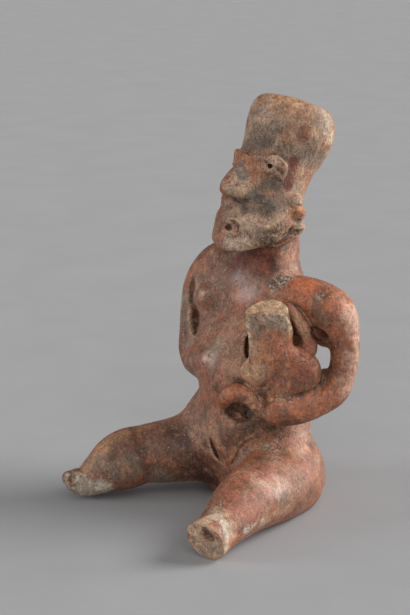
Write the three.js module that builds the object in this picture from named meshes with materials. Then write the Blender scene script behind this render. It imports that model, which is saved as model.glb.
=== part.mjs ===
// Seated figure of a mother holding a child on her left hip, one piece of fired clay.
// Millimetres, +Z up. She faces -Y and her left side is +X. The ground is z = 0.
// The clay is a field of distances on a grid: eggs, coils and lofts are pressed into it and
// blended, hollows are carved from it, and its surface is drawn as one closed skin.
import * as THREE from 'three';

// Grid and skin
const GRID_LOW = [-78, -108, -6];
const GRID_HIGH = [78, 62, 246];
const GRID_STEP = 1.8;
const TRIANGLE_LIMIT = 9600;
const FAR_AWAY = 60;
const PRESS_MARGIN = 4 * GRID_STEP;
const COIL_STEPS = 6;
const LOFT_STEPS = 8;
const LOFT_LEVELS = 400;

// Seat and broken ankles
const SEAT_LEVEL = 0;
const SEAT_ROUND = 1.5;
const SEAT_TOLERANCE = 0.02;
const LEFT_ANKLE = { point: [56.5, -92.6, 11.6], facing: [0.25, -0.92, -0.3] };
const RIGHT_ANKLE = { point: [-60.6, -88.5, 0.4], facing: [-0.2, -0.57, -0.8] };
const ANKLE_ROUND = 1.5;
const LEFT_ANKLE_PIT = { centre: [61, -94.5, 14.5], radii: [4.6, 4, 4], blend: 1.5 };

// Head: it leans back on the neck, and the jaw overhangs the throat
const HEAD_LEAN = 22;
const HEAD_BASE = [0, -6, 163];
const JAW = { centre: [-0.6, -9.5, 162], radii: [24.2, 22, 10.5], turn: [20, 0, 0], blend: 6 };
const JAW_UNDERSIDE = { point: [0, -28, 150.6], facing: [0.12, 0.45, -1] };
const JAW_ROUND = 3;
const MOUTH_HOLE = { centre: [2.2, -30, 166.6], radii: [2.2, 5, 1.9], blend: 0.6 };

// Eyes and ears, side 1 is her left and side -1 her right
const EYES = { 1: [15.6, -7.2, 200.2], [-1]: [-14.6, -6.4, 200.2] };
const EYE_RADII = [7.5, 3.6, 6];
const EYE_TURN = 50;
const EYE_SLANT = 25;
const PUPIL = [15.4, -10.2, 201.2];
const PUPIL_RADII = [1.8, 3, 1.8];
const EAR_PELLETS = [
  { centre: [22, 4.2, 180.6], radii: [4, 4.4, 3.7] },
  { centre: [22.1, 5.4, 173.6], radii: [4.5, 4.6, 4.5] },
  { centre: [21.5, 5.3, 165.6], radii: [4.4, 4.6, 4.4] },
];

// Swellings of the body
const SWELLINGS = [
  { name: 'left hip', centre: [22, -1, 17], radii: [21.5, 21.5, 24], blend: 9 },
  { name: 'right hip', centre: [-20, 1, 23], radii: [22, 22, 23], blend: 10 },
  { name: 'right waist', centre: [-25, -20, 49], radii: [12, 12, 13], blend: 12 },
  { name: 'belly', centre: [0, -18, 78], radii: [25, 20, 24], blend: 10 },
  { name: 'right flank', centre: [-29, -16, 100], radii: [11, 11, 27], blend: 10 },
  { name: 'right chest', centre: [-19, -9, 127], radii: [14, 11, 13], blend: 10 },
  { name: 'lap', centre: [0, -24, 43], radii: [17, 13, 17], blend: 10 },
  { name: 'right breast', centre: [-25.2, -22.6, 120.4], radii: [5.5, 4.5, 6], blend: 6 },
  { name: 'left breast', centre: [20, -21.4, 119], radii: [5.5, 4, 5.5], blend: 7 },
];
const LEFT_ARMPIT = { centre: [43, 9, 107.5], radii: [9, 8, 8.5], blend: 6 };

// Child: it is turned toward her left and its neck is broken across
const CHILD_AXIS = [33.7, -28.3, 0];
const CHILD_TURN = 50;
const CHILD_BREAK = { point: [36, -33, 122.5], facing: [0.77, -0.64, 0.9] };
const CHILD_BACK = { centre: [48, 3.5, 79], radii: [6, 6, 9] };
const CHILD_ARM_GAP = { centre: [40.8, -11.9, 106.4], radii: [2.6, 9, 3.3], blend: 0.8 };
const CHILD_ARM_LEAN = 35;
const CHILD_SIDE_GAP = { centre: [16.7, -26.2, 99.1], radii: [2.3, 8, 6.8], blend: 1.5 };
const FOOT_HOLLOW = { centre: [16.7, -34.1, 61.9], radii: [9.6, 9, 6.6], blend: 1.5 };
const ARM_RECESS = { centre: [47.8, -0.8, 109.8], radii: [5.4, 6.8, 4.2], blend: 2 };

// Lofts, each row [level, centre x, centre y, half width, half depth]
const TRUNK = [
  [-3, 0, 0, 28, 26], [12, 0, 0, 30, 28], [30, 0, -3, 32, 30.5], [48, 0, -5, 32.5, 30.5],
  [64, 0, -6, 32.5, 30], [84, 0, -6, 34, 30.5], [104, 0, -1, 35, 27], [120, 0, 3, 33, 22],
  [132, 0, 3.5, 25, 18.5], [142, 0, 3.5, 19, 17.5], [152, 0, 3, 18.3, 17.7],
  [165, 0, 4, 18, 17], [186, 0, 6, 15, 14],
];
const HEAD = [
  [-10, 0, -1, 19, 18], [-4, 0, -2, 22, 21.5], [0.7, 0, -2.2, 23.5, 22.3],
  [6, 0, -1.6, 23.6, 21.2], [12.4, -0.8, -2, 23.6, 21.8], [20, -0.4, -1.6, 22.5, 22.2],
  [28.3, 0, -1.4, 22, 22], [38, 0, 0.4, 21.8, 22.7], [45.7, 0, 2.6, 23.2, 23.9],
  [56.1, 0, 3.2, 26.1, 24.6], [64.6, 0, 2.8, 25.8, 24.8], [70.6, 0, 2.2, 24, 23.2],
  [74.6, 0, 1.6, 19.6, 19.2], [76.6, 0, 1.2, 10, 10],
];
const NOSE = [
  [11.2, 0, -20, 8, 8], [13, 0, -20, 10.8, 12], [18, 0, -20, 11, 13.4], [25, 0, -20, 9.4, 10.2],
  [31, 0, -20, 7.4, 7], [36, 0, -20, 6, 4.8], [37.8, 0, -20, 5, 4],
];
const CHILD_BODY = [
  [70, 10, 4, 9, 6], [74, 10, 4, 14.3, 7.5], [77, 10.8, 3.5, 17.8, 8.5], [81, 11.2, 3, 19.2, 9],
  [88, 11.4, 2.5, 19.9, 9], [94, 10.4, 1.5, 19.4, 8.8], [98, 8.8, 1, 17.8, 8.5],
  [101, 6, 0.8, 15.4, 8], [106, 2.7, 0.5, 12.5, 7.3], [112, 2.3, 0.2, 12.6, 6.8],
  [116, 1.2, 0, 13, 6.5], [121, 0.4, 0, 12.4, 6.3], [124, 0.2, 0, 12, 6],
  [126.5, 1.4, 0, 10.4, 5.8], [128.5, 2, 0, 7.6, 5.6], [130, 2.4, 0, 4, 5],
];

// Coils, each station [x, y, z, radius]
const LEFT_LEG = [
  [22, -3, 19, 22], [31, -17, 19, 22], [38, -34.5, 20.2, 19.8], [44.6, -55.4, 19.2, 17],
  [50.4, -71.7, 16.2, 13.6], [53.5, -81.6, 13.2, 11.8], [57.4, -94.2, 11.4, 12.4],
];
const RIGHT_LEG = [
  [-18, -6, 27, 22], [-28, -24, 27.2, 20.5], [-38, -40, 25.2, 19], [-46, -53, 23.8, 17.4],
  [-51, -64, 21.5, 17.8], [-55.5, -75.5, 16, 13.3], [-59.6, -85.5, 10.4, 9],
  [-61, -91, 11.6, 7.6], [-62, -97, 14.6, 4.4],
];
const LEFT_ARM = [
  [22, 0, 125, 13], [34, 2.5, 126.5, 12.2], [44, 6.3, 123, 13.2], [49.8, 8.5, 117.6, 13.2],
  [54.2, 10.6, 108.5, 9.8], [56.7, 10.7, 98.5, 8.2], [56.3, 9.5, 88, 8], [54.5, 5, 76.5, 8.5],
  [49.5, -5, 70, 8.7], [45, -14.5, 67, 8.8], [39.5, -23.5, 66, 8.4], [33.5, -28, 66, 6],
];
const RIGHT_ARM = [
  [-20, -3, 140, 9.5], [-28, -7, 139.6, 11], [-36, -11, 131.6, 11.1], [-40.5, -15, 121, 9.6],
  [-42.3, -17, 108, 8.4], [-42.3, -18, 95, 8.4], [-41, -19, 84.5, 9], [-34, -23, 79.5, 8.2],
  [-26, -28.3, 82, 7.2], [-17, -32, 85.5, 6.2], [-9, -34, 88, 4.8],
];
const RIGHT_ARM_SLIT = [
  [-37, -23.2, 128, 1], [-36.6, -23.2, 125, 1.8], [-36.5, -23.4, 122, 2.2],
  [-36.8, -24, 117, 1.4], [-35, -24.6, 112.5, 2.2],
];
const RIGHT_ARM_HOLLOW = { centre: [-32.2, -25, 104.5], radii: [3, 6.5, 8.5], blend: 2 };
const BROW = [
  [-6, -12.6, 204.2, 1.2], [0, -13.9, 205.2, 2], [5, -12.5, 205, 1.9], [9, -10.6, 204.4, 1.5],
  [12, -8.9, 203.6, 0.8],
];
const LIPS = [
  [-5, -27.9, 166.6, 1.2], [-3, -28.4, 169.2, 1.3], [2, -29.2, 170.8, 1.4],
  [8, -28.2, 169.8, 1.4], [10.2, -27.4, 166.8, 1.4], [7.5, -28.4, 164, 1.4],
  [2, -29.6, 163.2, 1.4], [-3, -28.7, 164.2, 1.2], [-5, -27.9, 166.6, 1.2],
];
const JAW_ROLL = [
  [19.4, 2.8, 161, 3], [18.4, -3.5, 159.4, 3.6], [16, -9, 157.4, 3.4], [12.5, -12.5, 156, 2],
];
const MOUTH_SLIT = [[2.2, -30.5, 166.5, 1], [5, -30, 166, 1], [7.5, -29, 166.3, 0.8]];
const CHILD_ARM = [
  [36.5, -14.3, 124, 3.2], [38.6, -12.4, 120.6, 3.9], [40.1, -9.9, 116.4, 4.5],
  [41.5, -7.7, 112, 4.9], [43.6, -6.4, 107.2, 4.9], [45.1, -7, 103.3, 5.3],
  [46.4, -8.2, 100.9, 5],
];
const CHILD_THIGH = [[33, -31, 96, 4.5], [31.5, -31.8, 89.5, 6], [27, -33.4, 88.5, 5.6]];
const THIGH_ROOT = [[25, -32.5, 88, 4.8], [20.6, -32.6, 87.4, 4.6], [15, -31.5, 87, 3]];
const CHILD_FOOT = [
  [12.9, -41.7, 68, 3.4], [17, -42.7, 73.1, 4.6], [22.2, -41.4, 76.8, 5.2],
  [27.2, -38.1, 76.3, 4.9], [30.6, -36.2, 72.8, 3.9], [33.5, -33.9, 67.7, 2.6],
];
const GROIN_LINE = [
  [-2.6, -38.6, 41, 0.8], [-1.6, -38.2, 38.8, 1.3], [0, -37.3, 34.7, 1.5],
  [1.2, -35.6, 30.6, 1.2], [5, -34.6, 28.4, 0.8],
];

// Smooth meeting of two distances
function smoothMin(a, b, width) {
  const h = Math.max(width - Math.abs(a - b), 0) / width;
  return Math.min(a, b) - h * h * width * 0.25;
}
const smoothMax = (a, b, width) => -smoothMin(-a, -b, width);

const unit = (v) => v.map((x) => x / Math.hypot(...v));
const mirror = ([x, y, z], side) => [x * side, y, z];

// Rows of a table joined by a smooth curve through every row
function smoothRows(rows, steps) {
  const out = [];
  for (let i = 0; i < rows.length - 1; i++) {
    const [a, b, c, d] = [-1, 0, 1, 2].map(
      (k) => rows[Math.min(Math.max(i + k, 0), rows.length - 1)]);
    for (let s = 0; s < steps; s++) {
      const t = s / steps;
      out.push(b.map((_, j) => 0.5 * (2 * b[j] + (c[j] - a[j]) * t
        + (2 * a[j] - 5 * b[j] + 4 * c[j] - d[j]) * t * t
        + (3 * b[j] - a[j] - 3 * c[j] + d[j]) * t * t * t)));
    }
  }
  out.push(rows[rows.length - 1]);
  return out;
}

// Axes of a turned frame, angles in degrees about x, y and z
function turnedAxes(turn) {
  const m = new THREE.Matrix4().makeRotationFromEuler(
    new THREE.Euler(...turn.map(THREE.MathUtils.degToRad), 'ZYX'));
  return [0, 1, 2].map((i) => new THREE.Vector3().setFromMatrixColumn(m, i).toArray());
}

class Clay {
  constructor() {
    this.count = GRID_LOW.map((low, i) => Math.ceil((GRID_HIGH[i] - low) / GRID_STEP) + 1);
    this.value = new Float32Array(this.count[0] * this.count[1] * this.count[2]).fill(FAR_AWAY);
  }

  index(i, j, k) {
    return (k * this.count[1] + j) * this.count[0] + i;
  }

  // Visits every grid point between two corners
  visit(low, high, reach, action) {
    const first = low.map((v, i) =>
      Math.max(0, Math.floor((v - reach - GRID_LOW[i]) / GRID_STEP)));
    const last = high.map((v, i) =>
      Math.min(this.count[i] - 1, Math.ceil((v + reach - GRID_LOW[i]) / GRID_STEP)));
    for (let k = first[2]; k <= last[2]; k++) {
      const z = GRID_LOW[2] + k * GRID_STEP;
      for (let j = first[1]; j <= last[1]; j++) {
        const y = GRID_LOW[1] + j * GRID_STEP;
        for (let i = first[0]; i <= last[0]; i++) {
          action(this.index(i, j, k), GRID_LOW[0] + i * GRID_STEP, y, z);
        }
      }
    }
  }

  // Presses a form in, or carves it out
  press(distance, low, high, blend, carve) {
    this.visit(low, high, blend + PRESS_MARGIN, (at, x, y, z) => {
      const d = distance(x, y, z, at);
      this.value[at] = carve
        ? smoothMax(this.value[at], -d, blend) : smoothMin(this.value[at], d, blend);
    });
    return this;
  }

  egg({ centre, radii, turn = [0, 0, 0], blend = 4 }, carve = false) {
    const axes = turnedAxes(turn);
    const reach = Math.max(...radii);
    const distance = (x, y, z) => {
      const [dx, dy, dz] = [x - centre[0], y - centre[1], z - centre[2]];
      let k0 = 0;
      let k1 = 0;
      for (let i = 0; i < 3; i++) {
        const q = (axes[i][0] * dx + axes[i][1] * dy + axes[i][2] * dz) / radii[i];
        k0 += q * q;
        k1 += (q / radii[i]) ** 2;
      }
      return Math.sqrt(k0) * (Math.sqrt(k0) - 1) / (Math.sqrt(k1) + 1e-9);
    };
    return this.press(distance, centre.map((c) => c - reach), centre.map((c) => c + reach),
      blend, carve);
  }

  coil(stations, blend, carve = false) {
    const line = smoothRows(stations, COIL_STEPS);
    const layer = new Float32Array(this.value.length).fill(FAR_AWAY);
    for (let s = 0; s < line.length - 1; s++) {
      const [a, b] = [line[s], line[s + 1]];
      const along = [b[0] - a[0], b[1] - a[1], b[2] - a[2]];
      const length2 = along[0] ** 2 + along[1] ** 2 + along[2] ** 2 + 1e-9;
      const fat = Math.max(a[3], b[3]);
      const low = [0, 1, 2].map((i) => Math.min(a[i], b[i]) - fat);
      const high = [0, 1, 2].map((i) => Math.max(a[i], b[i]) + fat);
      this.visit(low, high, blend + PRESS_MARGIN, (at, x, y, z) => {
        const [dx, dy, dz] = [x - a[0], y - a[1], z - a[2]];
        const along1 = (dx * along[0] + dy * along[1] + dz * along[2]) / length2;
        const t = Math.min(1, Math.max(0, along1));
        const away = Math.sqrt((dx - t * along[0]) ** 2 + (dy - t * along[1]) ** 2
          + (dz - t * along[2]) ** 2);
        layer[at] = Math.min(layer[at], away - a[3] - t * (b[3] - a[3]));
      });
    }
    const edge = (i, sign) => sign * Math.max(...line.map((p) => sign * p[i] + p[3]));
    return this.press((x, y, z, at) => layer[at],
      [0, 1, 2].map((i) => edge(i, -1)), [0, 1, 2].map((i) => edge(i, 1)), blend, carve);
  }

  // Stacked sections along the z axis of a turned frame; corner 2 is an ellipse, more is squarer
  loft(rows, { origin = [0, 0, 0], turn = [0, 0, 0], blend = 4, corner = 2, end = 3 } = {}) {
    const axes = turnedAxes(turn);
    const line = smoothRows(rows, LOFT_STEPS).sort((a, b) => a[0] - b[0]);
    const [first, last] = [line[0][0], line[line.length - 1][0]];
    const table = Array.from({ length: LOFT_LEVELS + 1 }, (_, n) => {
      const level = first + (last - first) * n / LOFT_LEVELS;
      const i = Math.min(line.length - 2, line.findLastIndex((r) => r[0] <= level));
      const t = (level - line[i][0]) / (line[i + 1][0] - line[i][0]);
      return line[i].map((v, j) => v + t * (line[i + 1][j] - v));
    });
    const distance = (x, y, z) => {
      const [dx, dy, dz] = [x - origin[0], y - origin[1], z - origin[2]];
      const [qx, qy, qz] = axes.map((a) => a[0] * dx + a[1] * dy + a[2] * dz);
      const level = Math.min(last, Math.max(first, qz));
      const n = Math.round((level - first) / (last - first) * LOFT_LEVELS);
      const [, cx, cy, a, b] = table[n];
      const [ex, ey] = [Math.abs(qx - cx), Math.abs(qy - cy)];
      const round = Math.sqrt((ex / a) ** 2 + (ey / b) ** 2) + 1e-6;
      const slope = Math.sqrt((ex / (a * a)) ** 2 + (ey / (b * b)) ** 2) / round + 1e-9;
      const size = corner === 2 ? round : ((ex / a) ** corner + (ey / b) ** corner) ** (1 / corner);
      const side = Math.max((size - 1) / slope, -Math.min(a, b));
      return smoothMax(side, Math.max(qz - last, first - qz), end);
    };
    const reach = Math.max(...line.map((r) => Math.hypot(r[1], r[2]) + Math.max(r[3], r[4])));
    const ends = [first, last].map((l) => origin.map((o, i) => o + axes[2][i] * l));
    return this.press(distance, ends[0].map((v, i) => Math.min(v, ends[1][i]) - reach),
      ends[0].map((v, i) => Math.max(v, ends[1][i]) + reach), blend, false);
  }

  // Takes away everything in front of a plane, inside a part of the grid
  slice({ point, facing }, round, low = GRID_LOW, high = GRID_HIGH) {
    const n = unit(facing);
    this.visit(low, high, 0, (at, x, y, z) => {
      const d = (x - point[0]) * n[0] + (y - point[1]) * n[1] + (z - point[2]) * n[2];
      this.value[at] = smoothMax(this.value[at], d, round);
    });
    return this;
  }

  join(other, blend) {
    for (let at = 0; at < this.value.length; at++) {
      this.value[at] = smoothMin(this.value[at], other.value[at], blend);
    }
    return this;
  }
}

function sculptHead() {
  const leaning = { origin: HEAD_BASE, turn: [-HEAD_LEAN, 0, 0] };
  const head = new Clay()
    .loft(HEAD, leaning)
    .egg(JAW)
    .slice(JAW_UNDERSIDE, JAW_ROUND)
    .coil(JAW_ROLL, 4)
    .coil(BROW, 1)
    .loft(NOSE, { ...leaning, blend: 2, corner: 1.9, end: 2.5 })
    .coil(LIPS, 1.2)
    .egg(MOUTH_HOLE, true)
    .coil(MOUTH_SLIT, 0.5, true);
  for (const side of [1, -1]) {
    for (const { centre, radii } of EAR_PELLETS) {
      head.egg({ centre: mirror(centre, side), radii, blend: 1.1 });
    }
    const turn = [0, side * EYE_SLANT, side * EYE_TURN];
    head.egg({ centre: EYES[side], radii: EYE_RADII, turn, blend: 1.2 });
    head.egg({ centre: mirror(PUPIL, side), radii: PUPIL_RADII, turn, blend: 0.5 }, true);
  }
  return head;
}

function sculptChild() {
  return new Clay()
    .loft(CHILD_BODY,
      { origin: CHILD_AXIS, turn: [0, 0, CHILD_TURN], blend: 5, corner: 2.6, end: 2 })
    .slice(CHILD_BREAK, 1)
    .egg(CHILD_BACK)
    .coil(CHILD_ARM, 1.5)
    .coil(CHILD_THIGH, 7)
    .coil(CHILD_FOOT, 3);
}

function sculptFigure() {
  const clay = sculptHead().loft(TRUNK, { blend: 2 });
  for (const swelling of SWELLINGS) clay.egg(swelling);
  clay.coil(LEFT_LEG, 9)
    .coil(RIGHT_LEG, 14)
    .egg(LEFT_ARMPIT)
    .coil(LEFT_ARM, 5)
    .coil(RIGHT_ARM, 7)
    .coil(THIGH_ROOT, 9)
    .join(sculptChild(), 2.5);
  const sideways = [0, 0, CHILD_TURN];
  clay.egg({ ...FOOT_HOLLOW, turn: sideways }, true)
    .coil(RIGHT_ARM_SLIT, 1.5, true)
    .egg({ ...RIGHT_ARM_HOLLOW, turn: sideways }, true)
    .egg({ ...ARM_RECESS, turn: sideways }, true)
    .egg({ ...CHILD_SIDE_GAP, turn: sideways }, true)
    .egg({ ...CHILD_ARM_GAP, turn: [0, CHILD_ARM_LEAN, CHILD_TURN] }, true)
    .coil(GROIN_LINE, 1, true)
    .slice({ point: [0, 0, SEAT_LEVEL], facing: [0, 0, -1] }, SEAT_ROUND)
    .slice(LEFT_ANKLE, ANKLE_ROUND, [20, GRID_LOW[1], GRID_LOW[2]], GRID_HIGH)
    .egg(LEFT_ANKLE_PIT, true)
    .slice(RIGHT_ANKLE, ANKLE_ROUND, GRID_LOW, [-20, GRID_HIGH[1], GRID_HIGH[2]]);
  return clay;
}

// Corners of the grid cube at a grid point
function cubeAt(clay, i, j, k) {
  return Array.from({ length: 8 },
    (_, n) => clay.index(i + (n & 1), j + (n >> 1 & 1), k + (n >> 2)));
}

// Visits the grid cubes that the surface crosses
function crossedCubes(clay, action) {
  const { count, value } = clay;
  for (let k = 0; k < count[2] - 1; k++) {
    for (let j = 0; j < count[1] - 1; j++) {
      for (let i = 0; i < count[0] - 1; i++) {
        const o = clay.index(i, j, k);
        const inside = value[o] < 0;
        let crossed = false;
        for (let n = 1; n < 8 && !crossed; n++) {
          const c = o + (n & 1) + (n >> 1 & 1) * count[0] + (n >> 2) * count[0] * count[1];
          crossed = (value[c] < 0) !== inside;
        }
        if (crossed) action(i, j, k, o);
      }
    }
  }
}

// Fills the grid points where the clay would touch itself only at an edge or a corner
function closePinches(clay) {
  const { count, value } = clay;
  const step = [1, count[0], count[0] * count[1]];
  const barelyInside = -0.05;
  const fill = (cells) => {
    const outside = cells.filter((c) => value[c] >= 0);
    outside.sort((a, b) => value[a] - value[b]);
    value[outside[0]] = barelyInside;
  };
  const same = (cells, sign) => cells.every((c) => (value[c] < 0) === sign);
  for (let changed = true; changed;) {
    changed = false;
    crossedCubes(clay, (i, j, k, o) => {
      for (const [u, v] of [[0, 1], [1, 2], [0, 2]]) {
        const face = [o, o + step[u], o + step[u] + step[v], o + step[v]];
        const inside = face.map((c) => value[c] < 0);
        if (inside[0] === inside[2] && inside[1] === inside[3] && inside[0] !== inside[1]) {
          fill(face);
          changed = true;
        }
      }
      const cube = cubeAt(clay, i, j, k);
      for (let n = 0; n < 4; n++) {
        const pair = [cube[n], cube[7 - n]];
        const rest = cube.filter((c) => !pair.includes(c));
        if ([true, false].some((s) => same(pair, s) && same(rest, !s))) {
          fill(cube);
          changed = true;
        }
      }
    });
  }
}

// One vertex in every cube the surface crosses, and a square across every crossed grid edge
function drawSkin(clay) {
  const { count, value } = clay;
  const points = [];
  const faces = [];
  const vertexOf = new Int32Array(value.length).fill(-1);
  const corner = (n) => [n & 1, n >> 1 & 1, n >> 2];
  const edges = [];
  for (let n = 0; n < 8; n++) {
    for (const bit of [1, 2, 4]) if (!(n & bit)) edges.push([n, n | bit]);
  }
  crossedCubes(clay, (i, j, k, o) => {
    const v = cubeAt(clay, i, j, k).map((c) => value[c]);
    const sum = [0, 0, 0];
    let crossings = 0;
    for (const [a, b] of edges) {
      if ((v[a] < 0) === (v[b] < 0)) continue;
      const t = v[a] / (v[a] - v[b]);
      const [ca, cb] = [corner(a), corner(b)];
      for (let q = 0; q < 3; q++) sum[q] += ca[q] + t * (cb[q] - ca[q]);
      crossings++;
    }
    vertexOf[o] = points.length;
    points.push([i, j, k].map((c, q) => GRID_LOW[q] + GRID_STEP * (c + sum[q] / crossings)));
  });
  const step = [1, count[0], count[0] * count[1]];
  for (let k = 1; k < count[2] - 1; k++) {
    for (let j = 1; j < count[1] - 1; j++) {
      for (let i = 1; i < count[0] - 1; i++) {
        const o = clay.index(i, j, k);
        for (let a = 0; a < 3; a++) {
          const inside = value[o] < 0;
          if (inside === value[o + step[a]] < 0) continue;
          const [b, c] = [step[(a + 1) % 3], step[(a + 2) % 3]];
          let ring = [o - b - c, o - c, o, o - b].map((cell) => vertexOf[cell]);
          if (!inside) ring = ring.reverse();
          faces.push([ring[0], ring[1], ring[2]], [ring[0], ring[2], ring[3]]);
        }
      }
    }
  }
  return { points, faces };
}

// Merges neighbouring vertices, those that change the shape least first
function thinOut({ points, faces }, limit) {
  const sliver = 0.35;
  const evenness = 0.002;
  const quadric = points.map(() => new Float64Array(10));
  const around = points.map(() => new Set());
  const stamp = new Int32Array(points.length);
  const cross = (a, b, c) => {
    const [u, v] = [0, 1].map((n) => [0, 1, 2].map((i) => (n ? c : b)[i] - a[i]));
    return [u[1] * v[2] - u[2] * v[1], u[2] * v[0] - u[0] * v[2], u[0] * v[1] - u[1] * v[0]];
  };
  faces.forEach((face, f) => {
    const n = cross(...face.map((v) => points[v]));
    const size = Math.hypot(...n) + 1e-12;
    const [a, b, c] = n.map((x) => x / size);
    const d = -(a * points[face[0]][0] + b * points[face[0]][1] + c * points[face[0]][2]);
    const terms = [a * a, a * b, a * c, a * d, b * b, b * c, b * d, c * c, c * d, d * d];
    for (const v of face) {
      around[v].add(f);
      terms.forEach((t, i) => { quadric[v][i] += t * size; });
    }
  });
  const error = (q, [x, y, z]) => q[0] * x * x + 2 * q[1] * x * y + 2 * q[2] * x * z
    + 2 * q[3] * x + q[4] * y * y + 2 * q[5] * y * z + 2 * q[6] * y + q[7] * z * z
    + 2 * q[8] * z + q[9];
  const bestPoint = (u, v) => {
    const q = quadric[u].map((x, i) => x + quadric[v][i]);
    const middle = points[u].map((x, i) => (x + points[v][i]) / 2);
    const length = Math.hypot(...points[u].map((x, i) => x - points[v][i]));
    const choices = [middle, points[u], points[v]];
    const m = new THREE.Matrix3().set(q[0], q[1], q[2], q[1], q[4], q[5], q[2], q[5], q[7]);
    if (Math.abs(m.determinant()) > 1e-4) {
      const p = new THREE.Vector3(-q[3], -q[6], -q[8]).applyMatrix3(m.invert()).toArray();
      if (Math.hypot(...p.map((x, i) => x - middle[i])) < length) choices.push(p);
    }
    let best = { cost: Infinity };
    for (const p of choices) {
      const cost = error(q, p) + evenness * length * length;
      if (cost < best.cost) best = { cost, point: p };
    }
    return best;
  };
  const heap = [];
  const push = (item) => {
    let n = heap.push(item) - 1;
    while (n > 0) {
      const up = (n - 1) >> 1;
      if (heap[up].cost <= heap[n].cost) break;
      [heap[up], heap[n]] = [heap[n], heap[up]];
      n = up;
    }
  };
  const pop = () => {
    const top = heap[0];
    const last = heap.pop();
    if (heap.length) {
      heap[0] = last;
      for (let n = 0; ;) {
        let small = n;
        for (const next of [2 * n + 1, 2 * n + 2]) {
          if (next < heap.length && heap[next].cost < heap[small].cost) small = next;
        }
        if (small === n) break;
        [heap[small], heap[n]] = [heap[n], heap[small]];
        n = small;
      }
    }
    return top;
  };
  const neighbours = (v) => {
    const out = new Set();
    for (const f of around[v]) for (const w of faces[f]) if (w !== v) out.add(w);
    return out;
  };
  const offer = (u, v) => push({ ...bestPoint(u, v), u, v, su: stamp[u], sv: stamp[v] });
  points.forEach((_, v) => { for (const w of neighbours(v)) if (w > v) offer(v, w); });
  let left = faces.length;
  const gone = new Uint8Array(faces.length);
  const flips = (v, other, to) => {
    for (const f of around[v]) {
      if (faces[f].includes(other)) continue;
      const before = unit(cross(...faces[f].map((w) => points[w])));
      const after = cross(...faces[f].map((w) => (w === v ? to : points[w])));
      const size = Math.hypot(...after);
      const dot = after[0] * before[0] + after[1] * before[1] + after[2] * before[2];
      if (size < 1e-3 || dot < sliver * size) return true;
    }
    return false;
  };
  while (left > limit && heap.length) {
    const { u, v, su, sv, point } = pop();
    if (stamp[u] !== su || stamp[v] !== sv) continue;
    const beside = neighbours(u);
    const shared = [...neighbours(v)].filter((w) => beside.has(w));
    if (shared.length !== 2 || flips(u, v, point) || flips(v, u, point)) continue;
    for (const f of [...around[u]]) {
      if (faces[f].includes(v)) {
        for (const w of faces[f]) around[w].delete(f);
        gone[f] = 1;
        left--;
      } else {
        faces[f] = faces[f].map((w) => (w === u ? v : w));
        around[v].add(f);
      }
    }
    around[u].clear();
    stamp[u] = -1;
    points[v] = point;
    quadric[u].forEach((x, i) => { quadric[v][i] += x; });
    stamp[v]++;
    for (const w of neighbours(v)) offer(v, w);
  }
  const renumber = new Map();
  const kept = [];
  const use = (v) => {
    if (!renumber.has(v)) {
      renumber.set(v, kept.length);
      kept.push(points[v]);
    }
    return renumber.get(v);
  };
  const thin = faces.filter((_, f) => !gone[f]).map((face) => face.map(use));
  return { points: kept, faces: thin };
}

// The flat underside lies exactly on the ground
const settle = ([x, y, z]) => [x, y, Math.abs(z - SEAT_LEVEL) < SEAT_TOLERANCE ? SEAT_LEVEL : z];

const clay = sculptFigure();
closePinches(clay);
const skin = thinOut(drawSkin(clay), TRIANGLE_LIMIT);

const geometry = new THREE.BufferGeometry();
geometry.setAttribute('position',
  new THREE.Float32BufferAttribute(skin.points.map(settle).flat(), 3));
geometry.setIndex(skin.faces.flat());
geometry.computeVertexNormals();

const firedClay = new THREE.MeshStandardMaterial({
  color: 0xa4654a, roughness: 0.75, metalness: 0,
});
firedClay.name = 'fired_clay';
const figure = new THREE.Mesh(geometry, firedClay);
figure.name = 'seated_figure';

const group = new THREE.Group();
group.name = 'seated_figure_group';
group.add(figure);
export default group;
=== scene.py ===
"""A seated pottery mother holding a child on her left hip, in fired clay with a worn red slip.

The clay is modelled in millimetres as a field of distances: eggs, coils and lofts are pressed
into it, hollows are carved from it, and its surface is drawn as one skin. Small relief and
colour marks, among them painted shade and painted highlights, are placed by the pixel of the
photograph's frame where they show, and land on the clay that the camera sees there. On the
sides that don't show they are placed by a point in space.
"""
from math import cos, radians, sin

import bpy
import numpy as np
from mathutils import Matrix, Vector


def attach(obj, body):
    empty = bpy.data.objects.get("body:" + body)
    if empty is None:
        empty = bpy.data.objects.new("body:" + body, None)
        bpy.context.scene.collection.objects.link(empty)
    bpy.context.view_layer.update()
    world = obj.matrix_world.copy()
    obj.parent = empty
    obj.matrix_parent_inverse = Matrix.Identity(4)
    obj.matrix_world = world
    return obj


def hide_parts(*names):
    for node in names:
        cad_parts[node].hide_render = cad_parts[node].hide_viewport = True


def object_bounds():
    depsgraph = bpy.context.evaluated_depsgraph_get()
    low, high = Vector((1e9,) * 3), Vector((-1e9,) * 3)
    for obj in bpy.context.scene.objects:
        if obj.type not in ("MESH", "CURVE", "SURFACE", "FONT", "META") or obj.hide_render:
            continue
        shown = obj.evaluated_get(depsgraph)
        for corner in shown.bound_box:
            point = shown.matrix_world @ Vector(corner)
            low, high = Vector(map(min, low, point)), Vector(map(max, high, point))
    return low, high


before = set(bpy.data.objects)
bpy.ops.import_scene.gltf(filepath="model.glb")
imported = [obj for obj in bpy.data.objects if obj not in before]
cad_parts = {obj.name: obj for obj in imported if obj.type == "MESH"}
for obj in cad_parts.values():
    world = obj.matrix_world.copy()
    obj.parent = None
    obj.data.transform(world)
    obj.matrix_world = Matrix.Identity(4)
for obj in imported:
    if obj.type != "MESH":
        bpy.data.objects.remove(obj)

MM = 0.001
CAD_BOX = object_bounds()
CAD_LOW, CAD_HIGH = (np.array(corner) / MM for corner in CAD_BOX)
BOX_MARGIN = 0.01
GRID_STEP = 0.64

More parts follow.
